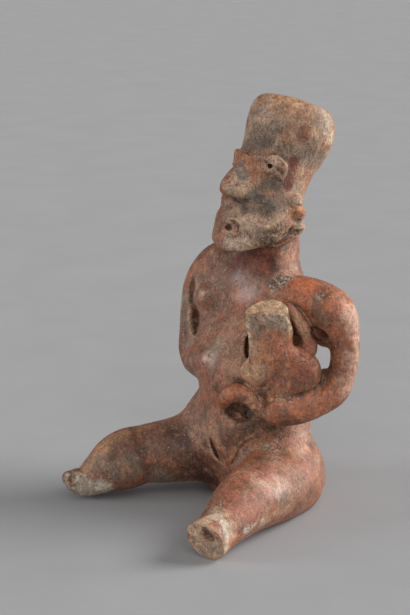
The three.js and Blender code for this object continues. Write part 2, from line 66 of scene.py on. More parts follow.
# The photograph's frame in pixels, and the camera that sees it
FRAME_WIDTH = 410
FRAME_HEIGHT = 615
CAMERA_AZIMUTH = 50
CAMERA_ELEVATION = 15
CAMERA_DISTANCE = 1000
MM_PER_PIXEL = 0.6
ORIGIN_PIXEL = (262, 492)
SIGHT_DEPTHS = (CAMERA_DISTANCE - 160, CAMERA_DISTANCE + 130, 0.4)
SENSOR_WIDTH = 36
CLIP_METRES = (0.05, 50)

# Grid of the clay and fineness of its skin
GRID_LOW = np.array([-78.0, -108.0, -6.0])
GRID_HIGH = np.array([78.0, 62.0, 246.0])
FAR_AWAY = 60
COIL_STEPS = 6
LOFT_STEPS = 8
PRESS_MARGIN = 7
SETTLING_STEPS = 6
FACING_REACH = 1.2
TINY = 1e-9
TRIANGLE_LIMIT = 196000

# Seat and broken ankles
SEAT_LEVEL = 0
SEAT_ROUND = 1.5
LEFT_ANKLE = ([56.5, -92.6, 11.6], [0.25, -0.92, -0.3])
RIGHT_ANKLE = ([-60.6, -88.5, 0.4], [-0.2, -0.57, -0.8])
ANKLE_ROUND = 1.5
FEET_BEYOND = 20
LEFT_ANKLE_PIT = dict(centre=[61, -94.5, 14.5], radii=[4.6, 4, 4], blend=1.5)

# Head: it leans back on the neck, and the jaw overhangs the throat
HEAD_LEAN = 22
HEAD_BASE = [0, -6, 163]
JAW = dict(centre=[-0.6, -9.5, 162], radii=[24.2, 22, 10.5], turn=(20, 0, 0), blend=6)
JAW_UNDERSIDE = ([0, -28, 150.6], [0.12, 0.45, -1])
JAW_ROUND = 3
MOUTH_HOLE = dict(centre=[2.2, -30, 166.6], radii=[2.2, 5, 1.9], blend=0.6)

# Eyes and ears, side 1 is her left and side -1 her right
EYES = {1: [15.6, -7.2, 200.2], -1: [-14.6, -6.4, 200.2]}
EYE_RADII = [7.5, 3.6, 6]
EYE_TURN = 50
EYE_SLANT = 25
PUPIL = [15.4, -10.2, 201.2]
PUPIL_RADII = [1.3, 3, 1.3]
EAR_PELLETS = [
    ([22, 4.2, 180.6], [4, 4.4, 3.7]),
    ([22.1, 5.4, 173.6], [4.5, 4.6, 4.5]),
    ([21.5, 5.3, 165.6], [4.4, 4.6, 4.4]),
]

# Swellings of the body
SWELLINGS = {
    "left hip": ([22, -1, 17], [21.5, 21.5, 24], 9),
    "right hip": ([-20, 1, 23], [22, 22, 23], 10),
    "right waist": ([-25, -20, 49], [12, 12, 13], 12),
    "belly": ([0, -18, 78], [25, 20, 24], 10),
    "right flank": ([-29, -16, 100], [11, 11, 27], 10),
    "right chest": ([-19, -9, 127], [14, 11, 13], 10),
    "lap": ([0, -24, 43], [17, 13, 17], 10),
    "right breast": ([-25.2, -22.6, 120.4], [5.5, 4.5, 6], 6),
    "left breast": ([20, -21.4, 119], [5.5, 4, 5.5], 7),
}
LEFT_ARMPIT = dict(centre=[43, 9, 107.5], radii=[9, 8, 8.5], blend=6)

# Child: it is turned toward her left and its neck is broken across
CHILD_AXIS = [33.7, -28.3, 0]
CHILD_TURN = 50
CHILD_BREAK = ([36, -33, 122.5], [0.77, -0.64, 0.9])
CHILD_BACK = dict(centre=[48, 3.5, 79], radii=[6, 6, 9], blend=4)

# Lofts, each row level, centre x, centre y, half width, half depth
TRUNK = [
    [-3, 0, 0, 28, 26], [12, 0, 0, 30, 28], [30, 0, -3, 32, 30.5], [48, 0, -5, 32.5, 30.5],
    [64, 0, -6, 32.5, 30], [84, 0, -6, 34, 30.5], [104, 0, -1, 35, 27], [120, 0, 3, 33, 22],
    [132, 0, 3.5, 25, 18.5], [142, 0, 3.5, 19, 17.5], [152, 0, 3, 18.3, 17.7],
    [165, 0, 4, 18, 17], [186, 0, 6, 15, 14],
]
HEAD = [
    [-10, 0, -1, 19, 18], [-4, 0, -2, 22, 21.5], [0.7, 0, -2.2, 23.5, 22.3],
    [6, 0, -1.6, 23.6, 21.2], [12.4, -0.8, -2, 23.6, 21.8], [20, -0.4, -1.6, 22.5, 22.2],
    [28.3, 0, -1.4, 22, 22], [38, 0, 0.4, 21.8, 22.7], [45.7, 0, 2.6, 23.2, 23.9],
    [56.1, 0, 3.2, 26.1, 24.6], [64.6, 0, 2.8, 25.8, 24.8], [70.6, 0, 2.2, 24, 23.2],
    [74.6, 0, 1.6, 19.6, 19.2], [76.6, 0, 1.2, 10, 10],
]
NOSE = [
    [11.2, 0, -20, 8, 8], [13, 0, -20, 10.8, 12], [18, 0, -20, 11, 13.4], [25, 0, -20, 9.4, 10.2],
    [31, 0, -20, 7.4, 7], [36, 0, -20, 6, 4.8], [37.8, 0, -20, 5, 4],
]
CHILD_BODY = [
    [70, 10, 4, 9, 6], [74, 10, 4, 14.3, 7.5], [77, 10.8, 3.5, 17.8, 8.5], [81, 11.2, 3, 19.2, 9],
    [88, 11.4, 2.5, 19.9, 9], [94, 10.4, 1.5, 19.4, 8.8], [98, 8.8, 1, 17.8, 8.5],
    [101, 6, 0.8, 15.4, 8], [106, 2.7, 0.5, 12.5, 7.3], [112, 2.3, 0.2, 12.6, 6.8],
    [116, 1.2, 0, 13, 6.5], [121, 0.4, 0, 12.4, 6.3], [124, 0.2, 0, 12, 6],
    [126.5, 1.4, 0, 10.4, 5.8], [128.5, 2, 0, 7.6, 5.6], [130, 2.4, 0, 4, 5],
]

# Coils, each station x, y, z, radius
LEFT_LEG = [
    [22, -3, 19, 22], [31, -17, 19, 22], [38, -34.5, 20.2, 19.8], [44.6, -55.4, 19.2, 17],
    [50.4, -71.7, 16.2, 13.6], [53.5, -81.6, 13.2, 11.8], [57.4, -94.2, 11.4, 12.4],
]
RIGHT_LEG = [
    [-18, -6, 27, 22], [-28, -24, 27.2, 20.5], [-38, -40, 25.2, 19], [-46, -53, 23.8, 17.4],
    [-51, -64, 21.5, 17.8], [-55.5, -75.5, 16, 13.3], [-59.6, -85.5, 10.4, 9],
    [-61, -91, 11.6, 7.6], [-62, -97, 14.6, 4.4],
]
LEFT_ARM = [
    [22, 0, 125, 13], [34, 2.5, 126.5, 12.2], [44, 6.3, 123, 13.2], [49.8, 8.5, 117.6, 13.2],
    [54.2, 10.6, 108.5, 9.8], [56.7, 10.7, 98.5, 8.2], [56.3, 9.5, 88, 8], [54.5, 5, 76.5, 8.5],
    [49.5, -5, 70, 8.7], [45, -14.5, 67, 8.8], [39.5, -23.5, 66, 8.4], [33.5, -28, 66, 6],
]
RIGHT_ARM = [
    [-20, -3, 140, 9.5], [-28, -7, 139.6, 11], [-36, -11, 131.6, 11.1], [-40.5, -15, 121, 9.6],
    [-42.3, -17, 108, 8.4], [-42.3, -18, 95, 8.4], [-41, -19, 84.5, 9], [-34, -23, 79.5, 8.2],
    [-26, -28.3, 82, 7.2], [-17, -32, 85.5, 6.2], [-9, -34, 88, 4.8],
]
RIGHT_ARM_SLIT = [
    [-37, -23.2, 128, 1], [-36.6, -23.2, 125, 1.8], [-36.5, -23.4, 122, 2.2],
    [-36.8, -24, 117, 1.4], [-35, -24.6, 112.5, 2.2],
]
BROW = [
    [-6, -12.6, 204.2, 1.2], [0, -13.9, 205.2, 2], [5, -12.5, 205, 1.9], [9, -10.6, 204.4, 1.5],
    [12, -8.9, 203.6, 0.8],
]
LIPS = [
    [-5, -27.9, 166.6, 1.2], [-3, -28.4, 169.2, 1.3], [2, -29.2, 170.8, 1.4],
    [8, -28.2, 169.8, 1.4], [10.2, -27.4, 166.8, 1.4], [7.5, -28.4, 164, 1.4],
    [2, -29.6, 163.2, 1.4], [-3, -28.7, 164.2, 1.2], [-5, -27.9, 166.6, 1.2],
]
CHILD_ARM = [
    [36.5, -14.3, 124, 3.2], [38.6, -12.4, 120.6, 3.9], [40.1, -9.9, 116.4, 4.5],
    [41.5, -7.7, 112, 4.9], [43.6, -6.4, 107.2, 4.9], [45.1, -7, 103.3, 5.3],
    [46.4, -8.2, 100.9, 5],
]
CHILD_THIGH = [[33, -31, 96, 4.5], [31.5, -31.8, 89.5, 6], [27, -33.4, 88.5, 5.6]]
THIGH_ROOT = [[25, -32.5, 88, 4.8], [20.6, -32.6, 87.4, 4.6], [15, -31.5, 87, 3]]
CHILD_FOOT = [
    [12.9, -41.7, 68, 3.4], [17, -42.7, 73.1, 4.6], [22.2, -41.4, 76.8, 5.2],
    [27.2, -38.1, 76.3, 4.9], [30.6, -36.2, 72.8, 3.9], [33.5, -33.9, 67.7, 2.6],
]
JAW_ROLL = [
    [19.4, 2.8, 161, 3], [18.4, -3.5, 159.4, 3.6], [16, -9, 157.4, 3.4], [12.5, -12.5, 156, 2],
]
GROIN_LINE = [
    [-2.6, -38.6, 41, 0.8], [-1.6, -38.2, 38.8, 1.3], [0, -37.3, 34.7, 1.5],
    [1.2, -35.6, 30.6, 1.2], [5, -34.6, 28.4, 0.8],
]
MOUTH_SLIT = [[2.2, -30.5, 166.5, 1], [5, -30, 166, 1], [7.5, -29, 166.3, 0.8]]

# Hollows, turned as the child is
SIDEWAYS = (0, 0, CHILD_TURN)
RIGHT_ARM_HOLLOW = dict(centre=[-32.2, -25, 104.5], radii=[3, 6.5, 8.5], turn=SIDEWAYS, blend=2)
FOOT_HOLLOW = dict(centre=[16.7, -34.1, 61.9], radii=[9.6, 9, 6.6], turn=SIDEWAYS, blend=1.5)
ARM_RECESS = dict(centre=[47.8, -0.8, 109.8], radii=[5.4, 6.8, 4.2], turn=SIDEWAYS, blend=2)
CHILD_SIDE_GAP = dict(centre=[16.7, -26.2, 99.1], radii=[2.3, 8, 6.8], turn=SIDEWAYS, blend=1.5)
CHILD_ARM_GAP = dict(centre=[40.8, -11.9, 106.4], radii=[2.6, 9, 3.3], turn=(0, 35, CHILD_TURN),
                     blend=0.8)

# Relief: whether it is raised, its radius and how deep its line lies in mm, and the pixels
# "x,y" that it runs along
RELIEF = {
    "brow crease": (False, 0.85, 0.2, "238,151.5 243,152.5 249,153.5 255,154 260,155"),
    "brow nick": (False, 0.8, 0, "234,160 234,163"),
    "under the nose": (False, 0.9, 0.3, "223,195 228,197 234,199 240,202 245,204"),
    "left nostril": (False, 1.1, 0.3, "232,197 234,198"),
    "right nostril": (False, 0.9, 0.3, "225,196 227,196.5"),
    "upper lid": (True, 1.25, 0.2, "264,164 266,159.5 271,157 277,157.5 282,161 285.5,166"),
    "outer lid": (True, 1, 0.1, "285.5,166 286,171 284,176 280,180"),
    "eye slit": (False, 0.7, 0.1, "264,161.5 267,163.5 274,167 279,170 283,173.5"),
    "lower lid": (True, 0.9, 0.1, "266,171 271,172 277,174 281,177"),
    "under the eye": (False, 0.8, 0, "265,173 270,176 276,179 281,182"),
    "mouth ring": (True, 0.9, 0.4, "223,222 228,219.5 233,219 238,223 239.5,229 236,234"),
    "mouth": (False, 1.5, 1, "225.5,227.5 228,228.5"),
    "mouth corner": (False, 1.1, 0.6, "230.5,220.5 235,223 238,228 237,232.5"),
    "lower lip": (False, 0.7, 0.2, "223.5,231 228,234.5 235,234"),
    "upper jaw lump": (True, 2.2, 0.7, "264,238 268,236"),
    "middle jaw lump": (True, 2.4, 0.7, "275,241 279,238"),
    "outer jaw lump": (True, 2, 0.5, "284,234 287,231"),
    "lower jaw lump": (True, 2, 0.6, "268,244 273,246"),
    "jaw cleft": (False, 1, 0.2, "262,234 268,232 275,234 282,229"),
    "outer jaw cleft": (False, 1, 0.2, "271,240 276,245 284,242 291,238"),
    "upper ear": (True, 2.4, 1.4, "292,200.5 298,199.5"),
    "middle ear": (True, 3.2, 2.3, "295,213 299,213"),
    "lower ear": (True, 2.6, 1.8, "293,225 299,225"),
    "upper ear cleft": (False, 0.6, 0.1, "290,206 297,205.5 303,207"),
    "lower ear cleft": (False, 0.6, 0.1, "290,220.5 297,219.5 304,221"),
    "ear lobe": (False, 1.4, 0.2, "293,230.5 298,232 303,230"),
    "child neck crack": (False, 0.5, 0, "280,314 283,316.5 288,317"),
    "child left edge": (True, 0.8, 0.3, "246.5,315 245.5,322 246,328 248.5,333 249.5,341 251,350 "
        "252,358"),
    "gap beside the child": (False, 1, 0.2, "248,356 250,362"),
    "slit at the child's arm": (False, 0.55, -0.2, "289.5,319 291.5,324 292.5,330"),
    "between foot and hand": (True, 2.6, 2.2, "259,397 262,403 264,410"),
    "hand end": (False, 0.8, -0.1, "265,400 264,406 264.5,412 267,419"),
    "child right edge": (True, 0.7, 0.3, "284,317 288,322 291,328 291.5,334"),
    "child hand": (True, 3.6, 1.8, "301,348 307,349.5"),
    "under the child hand": (False, 1.1, 0, "297,353 302,356.5 308,358 313,356"),
    "child finger": (False, 0.6, 0, "304,352 305.5,356"),
    "other child finger": (False, 0.6, 0, "308.5,352 309.5,356"),
    "under the child": (False, 1.2, 0.2, "289,396.5 298,395.5 306,393.5 313,390.5 318,386 "
        "321.5,379"),
    "thigh fold": (False, 0.9, 0.2, "259,387 264,387 268,382.5"),
    "foot ridge": (True, 0.8, 0.3, "246,400 250,404 255,411 258,416"),
    "lump in the hollow": (True, 2.8, 0.6, "237.5,413 241,417"),
    "small lump in the hollow": (True, 2, 0.5, "233,420 235.5,422.5"),
    "pit in the hollow": (False, 1.6, 0.6, "245.5,412 247,417"),
    "hollow lower edge": (True, 1.3, 0.6, "229,422 235,426 243,427 250,424"),
    "pubic right edge": (True, 1.5, 0.9, "187,425 191,432 197,440 203,449 211,459"),
    "beside the groin slit": (True, 2, 1.5, "215,441 218,447 221,453"),
    "left groin": (False, 1, 0.1, "231,466 236,457 241,447 250,440 260,438"),
    "groin slit": (False, 0.7, 0.9, "211,438 212,444 214.5,450 218,457"),
    "groin slit end": (False, 0.6, 0.2, "218,457 222,462 225.5,465"),
    "right foot ring": (False, 0.9, 0.2, "67,468.5 72,472 74,477 73,483"),
    "right foot crack": (False, 0.6, 0.1, "60,481 64,486 67,491"),
}
STROKE_TAPER = 0.45
RAISED_BLEND = 0.7
CARVED_BLEND = 0.5

# Relief that is pressed on her right side too
ON_BOTH_SIDES = ("upper lid", "outer lid", "eye slit", "lower lid", "upper ear", "middle ear",
                 "lower ear", "upper ear cleft", "lower ear cleft")

# Spots of a quality of the surface: "x,y,radius,strength" at a pixel, or with x,y,z at a point
SPOTS = {
    "broken": (
        "268,307,12,0.9 252,320,7,0.8 248,345,6,0.8 276,235,9,1 262,240,6,0.8 238,412,9,1 "
        "256,412,6,0.9 262,428,13,0.9 282,432,9,0.7 240,428,8,0.7 280,282,8,0.8 280,398,8,0.7 "
        "250,370,9,0.6 298,230,6,0.7 322,380,6,0.8 195,325,5,0.7 215,505,10,0.45 82,485,14,0.7 "
        "262,385,8,0.5 308,330,6,0.4 262,205,8,0.5"),
    "burnish": (
        "246,285,22,1 205,293,16,1 206,358,16,1 272,485,18,0.8 300,460,22,0.7 330,300,20,0.8 "
        "350,340,22,0.9 310,407,20,0.8 235,335,18,0.7 215,395,20,0.7 290,105,24,0.5 "
        "150,440,24,0.6 120,435,18,0.6 245,500,18,0.5 290,375,14,0.6 290,262,10,0.25 "
        "-20,30,60,45,0.8 20,30,60,45,0.8 0,30,110,40,0.8 -60,0,30,40,0.7 -50,-10,110,30,0.8"),
    "crust": (
        "280,281,7.5,1 272,287,5,0.9 290,277,5,0.8 284,287,4,0.7 320,297,4,0.45 283,397,6,0.6 "
        "82,488,8,0.5 222,530,5,0.6 250,535,7,0.4 298,490,5,0.35 275,458,7,0.35 290,398,4,0.5 "
        "330,128,7,0.25 294,236,4,0.5 272,448,8,0.5 248,530,5,0.7 236,545,5,0.6 262,524,5,0.5 "
        "216,517,5,0.5 215,552,4,0.5 74,492,6,0.7 90,496,7,0.6 260,372,7,0.35"),
}
BROKEN_FEET = "208,541,13,1 70,488,11,1"
SPOT_SPAN = (0.3, 1.0)
SPOT_SIDE_SPAN = (-0.1, 0.5)

# Unevenness of the skin, each row a height and a size in mm, a seed and how many layers
HAND_LUMPS = [(0.16, 11, 3, 3), (0.05, 3.2, 5, 3)]
GRIT_LUMPS = [(0.34, 3.4, 11, 3), (0.16, 1.6, 17, 2)]
PIT_NOISE = (2.1, 23)
PIT_SPAN = (0.78, 0.95)
PIT_DEPTH = 0.12
BROKEN_PIT_DEPTH = 0.3
SEAT_SPAN = (0.2, 3)

# Hollows and edges are felt for this far from the skin, in mm
EDGE_REACH = 2.6
HOLLOW_SPAN = (0.25, 0.95)
RIDGE_SPAN = (0.2, 0.75)

# Sheen of the slip: the head's, what the body has more and over how many mm below the head,
# and how much a break dulls and wears it
HEAD_SHEEN = 0.3
BODY_SHEEN = 0.25
SHEEN_CHANGE = 15
BROKEN_DULLING = 0.7
BROKEN_WEAR = 0.25

# Palette of the surface, red green blue in hex
TONES = {
    "bare clay": "b08e70", "slip": "985e44", "purple slip": "835d4a", "orange slip": "b4653f",
    "tan": "ab8065", "head tan": "ab8f77", "head orange": "b58762", "head pink": "b3937f",
    "head light": "c0a48e", "streak red": "682812", "throat red": "6a2a12", "olive": "9f8f72",
    "child orange": "b87a55", "child red": "ad6247", "thigh dark": "451f10", "pale grit": "d9cfbc",
    "foot paste": "c6a588", "rust": "8c4a38", "dark rust": "6e3d2e", "soot": "2f2620",
    # Some dark tones here also stand in for painted shade in slits, creases, hollows and under
    # overhangs
    "green soot": "5e574d", "blue grey": "626d6c", "soil and painted shade": "3a2519", "grime": "4a382c",
    "worn edge": "c7a487", "paste": "c9a07c", "grey paste": "978777", "lime": "cfc5b6",
    # The pinkish pale tone below also stands in for painted highlights on the arm, elbow, breast
    # and knee
    "pale edge": "d9bb95", "brown": "5a3a2a", "ear orange": "d2966c", "pale pink and painted highlight": "c29c88",
    "pit": "5a3020", "even red": "9c5a44", "floor": "a9aaad", "studio air": "e4e3e1",
}

# Clouds in the slip: tone, strength, size in mm, seed, and the span of noise they grow over
CLOUDS = [
    ("purple slip", 0.7, 26, 31, -0.4, 0.7), ("orange slip", 0.6, 15, 37, 0.1, 0.9),
    ("tan", 0.55, 8, 41, 0.3, 1.0), ("grime", 0.5, 6, 53, 0.2, 0.8),
    ("head orange", 0.5, 5, 59, 0.15, 0.75), ("even red", 0.6, 7, 61, 0.2, 0.7),
]

# Stains and painted shade of these tones have a firmer outline
EVEN_TONES = ("streak red", "throat red", "soil and painted shade", "pit", "pale edge", "even red", "soot")
EVEN_RAGGEDNESS = 0.35
STAIN_RAGGEDNESS = [(0.8, 7, 43, 4), (0.4, 2.2, 47, 2)]
STAIN_SPAN = (0.08, 0.9)
# Painted shade: how dark narrow hollows are made
HOLLOW_SHADE = 0.75

# Stains, painted shade and painted highlights in their order: tone, strength, radius in mm,
# and their pixels "x,y" or points "x,y,z"
STAINS_AND_PAINTED_LIGHT = [
    ("head tan", 0.85, 24, "255,115 285,125 300,140 285,150 262,200 250,225 300,180 0,40,215 "
        "-15,10,220 -20,5,190 0,30,190 -22,-5,170 18,30,195 28,25,220 2,22,237 -10,34,232 "
        "14,30,233 -8,14,237 26,14,200 10,42,215 -20,30,215"),
    ("head pink", 0.7, 12, "247,105 244,120 252,98 262,108"),
    ("head orange", 0.7, 11, "295,106 282,104 305,112 310,122 262,96"),
    ("head orange", 0.5, 8, "300,175 304,185"),
    ("head light", 0.75, 9, "326,118 331,130 328,143 310,95"),
    ("pale edge", 0.8, 4, "332,133 332,140"),
    ("green soot", 0.9, 9, "258,141 265,144 249,146 256,134"),
    ("green soot", 0.55, 9, "300,158 311,160 285,152 318,157"),
    ("green soot", 0.45, 8, "275,130 320,120"),
    ("soot", 0.35, 6, "266,142 252,148"),
    ("rust", 0.7, 5, "303,129 304,136"),
    ("head orange", 0.45, 6, "243,158 250,163 255,170 256,178"),
    ("streak red", 1, 5.2, "294,162 293,168 291,174 289,180 288,185"),
    ("rust", 0.4, 6, "252,160 254,175 268,190 225,222"),
    ("tan", 0.7, 7, "229,184 236,190 246,188"),
    ("blue grey", 0.6, 4.8, "239.5,166 241,171 242,177"),
    ("olive", 0.4, 7, "226,186 232,192 247,190 229,178"),
    ("head light", 0.55, 6, "231,181 229,187 237,187"),
    ("grime", 0.55, 9, "268,210 262,196 280,203 250,204 275,191"),
    ("green soot", 0.75, 7, "262,200 268,206 256,198 277,183 268,186"),
    # Painted shadow under the nose
    ("soot", 0.5, 4.5, "226,197 236,201 245,204 260,199 270,209"),
    # Painted shadow along the lower and outer edge of the eye
    ("brown", 0.6, 4, "266,177 274,180 282,181 287,173 265,170"),
    ("pale pink and painted highlight", 0.45, 6, "270,172 279,172 274,160"),
    ("head pink", 0.6, 8, "232,242 226,210 252,222 240,240"),
    ("dark rust", 0.6, 3.2, "227,208 232,206 222,212"),
    # Painted shade in the mouth's hole and ring
    ("soil and painted shade", 0.85, 2.4, "227,228 233,222 237,226 238,231 229,235"),
    # Painted shade in the eye's puncture and slit
    ("soil and painted shade", 0.7, 1.8, "271,165.5 265,161.5 278,169.5 282.5,173"),
    ("ear orange", 1, 6.5, "299,212 302,215 303,209 297,216"),
    ("head light", 0.95, 6.5, "299,224 303,223 298,228"),
    ("head light", 0.8, 5, "296,200 301,201"),
    # Painted shadow under the ear lobe and under the jaw's edge
    ("soot", 0.8, 3, "297,232 262,241 272,242 286,236 281,232"),
    ("head light", 0.75, 8, "228,243 240,246 250,240 260,228 246,228"),
    # Grime on the jaw lumps, with painted shade on the jaw's underside
    ("grime", 0.85, 6, "268,240 277,241 287,237 272,248 284,245"),
    ("grime", 0.5, 7, "262,235 275,235 285,228"),
    ("purple slip", 0.8, 18, "240,275 255,290 225,290 235,265"),
    ("throat red", 0.9, 8, "252,256 262,257 244,259 236,262"),
    ("throat red", 0.7, 9, "240,266 256,266 270,262 262,268"),
    ("rust", 0.5, 5, "262,262 252,263 268,272"),
    ("pale pink and painted highlight", 0.35, 9, "286,260 291,270 290,250"),
    ("orange slip", 0.85, 15, "310,295 330,300 297,290 345,300"),
    ("orange slip", 0.7, 16, "350,330 350,360 340,385 310,405 285,408"),
    # Painted shade in the recess under her left arm, beside the child's arm
    ("brown", 0.6, 7, "322,292 325,320 318,312 335,345"),
    ("soot", 0.5, 4, "320,296 316,300 275,268"),
    ("soot", 0.55, 5.5, "280,281 273,285 288,279"),
    ("orange slip", 0.5, 12, "290,292 262,300 306,285 240,300"),
    ("grey paste", 0.75, 10, "262,322 272,318 252,326 280,326"),
    # Painted highlight: sheen along the outer side of her left arm
    ("pale pink and painted highlight", 0.7, 12, "353,318 355,328 356,338 356,348 356,358 355,367 352,376 347,385"),
    ("paste", 0.9, 7, "252,308 262,306 272,306 282,308"),
    ("pale edge", 1, 3, "248,318 247,325 249,335 250,343 251,351"),
    ("pale edge", 1, 2.4, "286,318 288.5,322 290.5,328 291,334"),
    # Painted shadow under the ledge of the child's broken neck
    ("soot", 0.5, 2, "250,317 257,317 264,316 271,315.5 278,316.5 284,318"),
    ("pale edge", 0.8, 2.6, "247,311 253,306 260,303 270,302 279,304 287,309"),
    ("child orange", 0.85, 11, "270,342 262,352 283,345 266,365"),
    ("child red", 0.8, 10, "294,366 302,372 285,362 290,352"),
    ("child red", 0.5, 8, "272,338 278,350 283,386 274,382"),
    ("brown", 0.45, 9, "308,380 300,388 312,372"),
    ("ear orange", 0.55, 7, "245,366 252,373 241,375 252,381"),
    ("paste", 0.6, 5, "246,362 243,370 255,369 250,375"),
    ("head orange", 0.9, 3.6, "261,377 258,373"),
    ("ear orange", 0.9, 5, "297,318 302,326 306,334"),
    ("pale pink and painted highlight", 0.4, 4, "302,326 305,332 298,320"),
    ("child red", 0.6, 5, "310,346 306,350"),
    # Painted shade in the slit beside the child's arm
    ("soil and painted shade", 0.95, 1.7, "290.5,321 291.8,325 293,329 294,333"),
    # Painted shadow under the child, along her forearm
    ("soil and painted shade", 0.9, 2.2, "321,383 316,388.5 309,392 301,394.5"),
    ("soil and painted shade", 0.8, 3.2, "323,373 321,379 324,367"),
    ("even red", 0.4, 9, "330,395 320,402"),
    ("tan", 0.6, 12, "225,340 232,360 236,380 228,325"),
    ("grey paste", 0.4, 6, "254,338 253,350 257,330"),
    ("purple slip", 0.6, 10, "205,300 200,350 212,362"),
    # Painted highlights on her right elbow and right breast
    ("pale pink and painted highlight", 0.5, 6, "207,357 203,295"),
    ("grey paste", 0.5, 9, "186,300 185,320 190,340 215,345"),
    ("brown", 0.6, 9, "184,308 187,330 180,345"),
    # Painted shade in the slit between her right arm and breast
    ("soot", 0.8, 4, "195,325 194,315 193,332"),
    ("grime", 0.5, 18, "10,42,110 -25,30,45 28,30,30 -12,42,75"),
    ("green soot", 0.5, 14, "-18,34,124 16,42,78 -30,20,20"),
    ("tan", 0.6, 12, "0,44,60 -6,40,142 20,38,140 12,42,22 -34,16,30"),
    ("thigh dark", 0.4, 12, "0,42,36 34,20,20 4,42,128"),
    ("head light", 0.5, 9, "-14,40,104 8,44,92 -40,0,118 -46,-22,112"),
    # Painted shade in the upper end of the slit beside her right arm
    ("dark rust", 0.6, 4, "194,308 193,300"),
    # Painted shade in the hollow under the foot roll
    ("soil and painted shade", 0.8, 6, "233,408 246,410 229,412 250,417"),
    ("rust", 0.8, 4, "240,414 243,418"),
    ("orange slip", 0.7, 6, "229,394 238,389 247,391 224,401"),
    ("paste", 0.8, 2.4, "248,402 253,407 258,413 270,399 280,397"),
    ("soot", 0.7, 5, "240,422 262,420 248,428 270,428 285,424 296,423"),
    ("brown", 0.45, 12, "262,428 280,428 245,433"),
    ("tan", 0.6, 9, "225,425 215,430 206,430"),
    ("paste", 0.75, 2.6, "253,436.5 247,439 241,444 237,450 233,457"),
    ("head orange", 0.4, 7, "256,445 266,443 232,478 240,484 228,486"),
    ("child orange", 0.5, 5, "229,450 226,459 258,444"),
    ("brown", 0.55, 7, "201,444 206,450 200,452"),
    ("thigh dark", 0.95, 14, "196,470 184,455 206,475 178,440 192,462"),
    ("tan", 0.6, 5, "192,432 198,442 205,452"),
    ("brown", 0.75, 7, "232,440 224,434 238,434 228,446"),
    ("tan", 0.6, 3.5, "213,434 218,441 222,448 210,452"),
    # Painted shade in the groin slit
    ("soil and painted shade", 1, 1.5, "211,439 212,443 213.5,447 215.5,451 218,455"),
    ("throat red", 0.6, 6, "203,456 214,463"),
    ("throat red", 0.4, 3, "234,442 231,447"),
    ("head tan", 0.4, 12, "262,466 248,476"),
    ("brown", 0.6, 18, "160,440 180,440 150,460 175,470"),
    ("purple slip", 0.5, 10, "168,450 150,445 178,458"),
    ("grime", 0.45, 14, "120,450 135,440 110,465"),
    ("grey paste", 0.5, 12, "130,468 105,475 95,465 160,478"),
    ("head orange", 0.7, 8, "112,438 104,446 122,435"),
    ("pale grit", 0.9, 10, "78,484 88,491 74,482 102,489"),
    ("rust", 0.4, 6, "94,475 104,477"),
    ("head orange", 0.6, 5, "84,469 91,463 97,456"),
    ("soot", 0.9, 2.2, "66,470 62,473 60,478 61,483 64,486 71,477 70,480"),
    # Painted contact shadow along the underside of her right foot
    ("soot", 0.7, 1.8, "70,491 76,496 82,499 90,501"),
    # Painted highlight on her left knee
    ("pale pink and painted highlight", 0.6, 11, "272,483 264,480 284,490"),
    ("tan", 0.7, 9, "280,510 290,505 268,516"),
    ("even red", 0.75, 12, "240,505 250,512 230,495 262,470 236,480"),
    ("pale pink and painted highlight", 0.45, 10, "304,432 302,450 300,425"),
    ("purple slip", 0.6, 12, "303,495 296,475"),
    ("grime", 0.5, 7, "310,492 298,508 285,500"),
    ("pale grit", 0.75, 4, "210,517 218,517 224,523 226,532 227,540 226,549"),
    ("pale grit", 0.7, 3, "246,529 254,526 241,541 262,522"),
    ("foot paste", 0.6, 6, "233,536 231,526 222,515 213,512"),
    ("foot paste", 0.9, 9, "210,550 200,538 216,547 205,528"),
    ("foot paste", 0.9, 7, "195,545 200,553 212,559 193,532 203,520"),
    # Dark red-brown pit of the broken foot end, made darker with painted shade
    ("pit", 1, 4.4, "208,534 212,537 206,531"),
    ("soil and painted shade", 0.8, 2, "207,533 211,536 214,539"),
    ("grey paste", 0.7, 5, "214,548 219,551"),
]

# The material's noises: size in mm, detail, roughness, and the span that wear and lime grow over
SPECKLE = (1.1, 4, 0.7)
GRAIN = (0.5, 2, 0.55)
STROKES = (1.5, 3, 0.6)
LIME_CRUST = (2.2, 4, 0.7)
FILM_DETAIL = (5, 0.75)
WORN_SPAN = (0.38, 0.58)
LIME_SPAN = (0.48, 0.58)

# Light and dark in the slip: noise, then the span of it and the brightness at its two ends
SHADES = [((7, 5, 0.6), (0.3, 0.7, 0.68, 1.28)), ((2.8, 3, 0.65), (0.35, 0.65, 0.84, 1.2))]
STROKE_SHADE = (0.35, 0.65, 0.84, 1.18)
SPECKLE_SHADE = (0.36, 0.64, -0.4, 0.45)

# Films: tone, size in mm, span of the noise, and cover where the clay is matt and burnished
FILMS = [("bare clay", 2.6, (0.52, 0.62), (0.5, 0.25)), ("grime", 3.4, (0.51, 0.66), (0.7, 0.3))]

# Dots: tone, strength, spacing and radius in mm, size and detail of their clusters, and the span
DOTS = [
    ("soot", 0.8, 3.4, 0.62, (9, 2), (0.42, 0.58)), ("lime", 0.7, 2.7, 0.46, (6, 2), (0.47, 0.6)),
    ("bare clay", 0.7, 2.1, 0.46, (5, 3), (0.48, 0.58)),
    ("soil and painted shade", 0.75, 2.3, 0.5, (7, 3), (0.55, 0.45)),
]
DOT_CORE = 0.6
PIT_DOTS = dict(spacing=2.3, radius=0.4)
PIT_CLUSTER = (5, 2)
PIT_CLUSTER_SPAN = (0.4, 0.6)

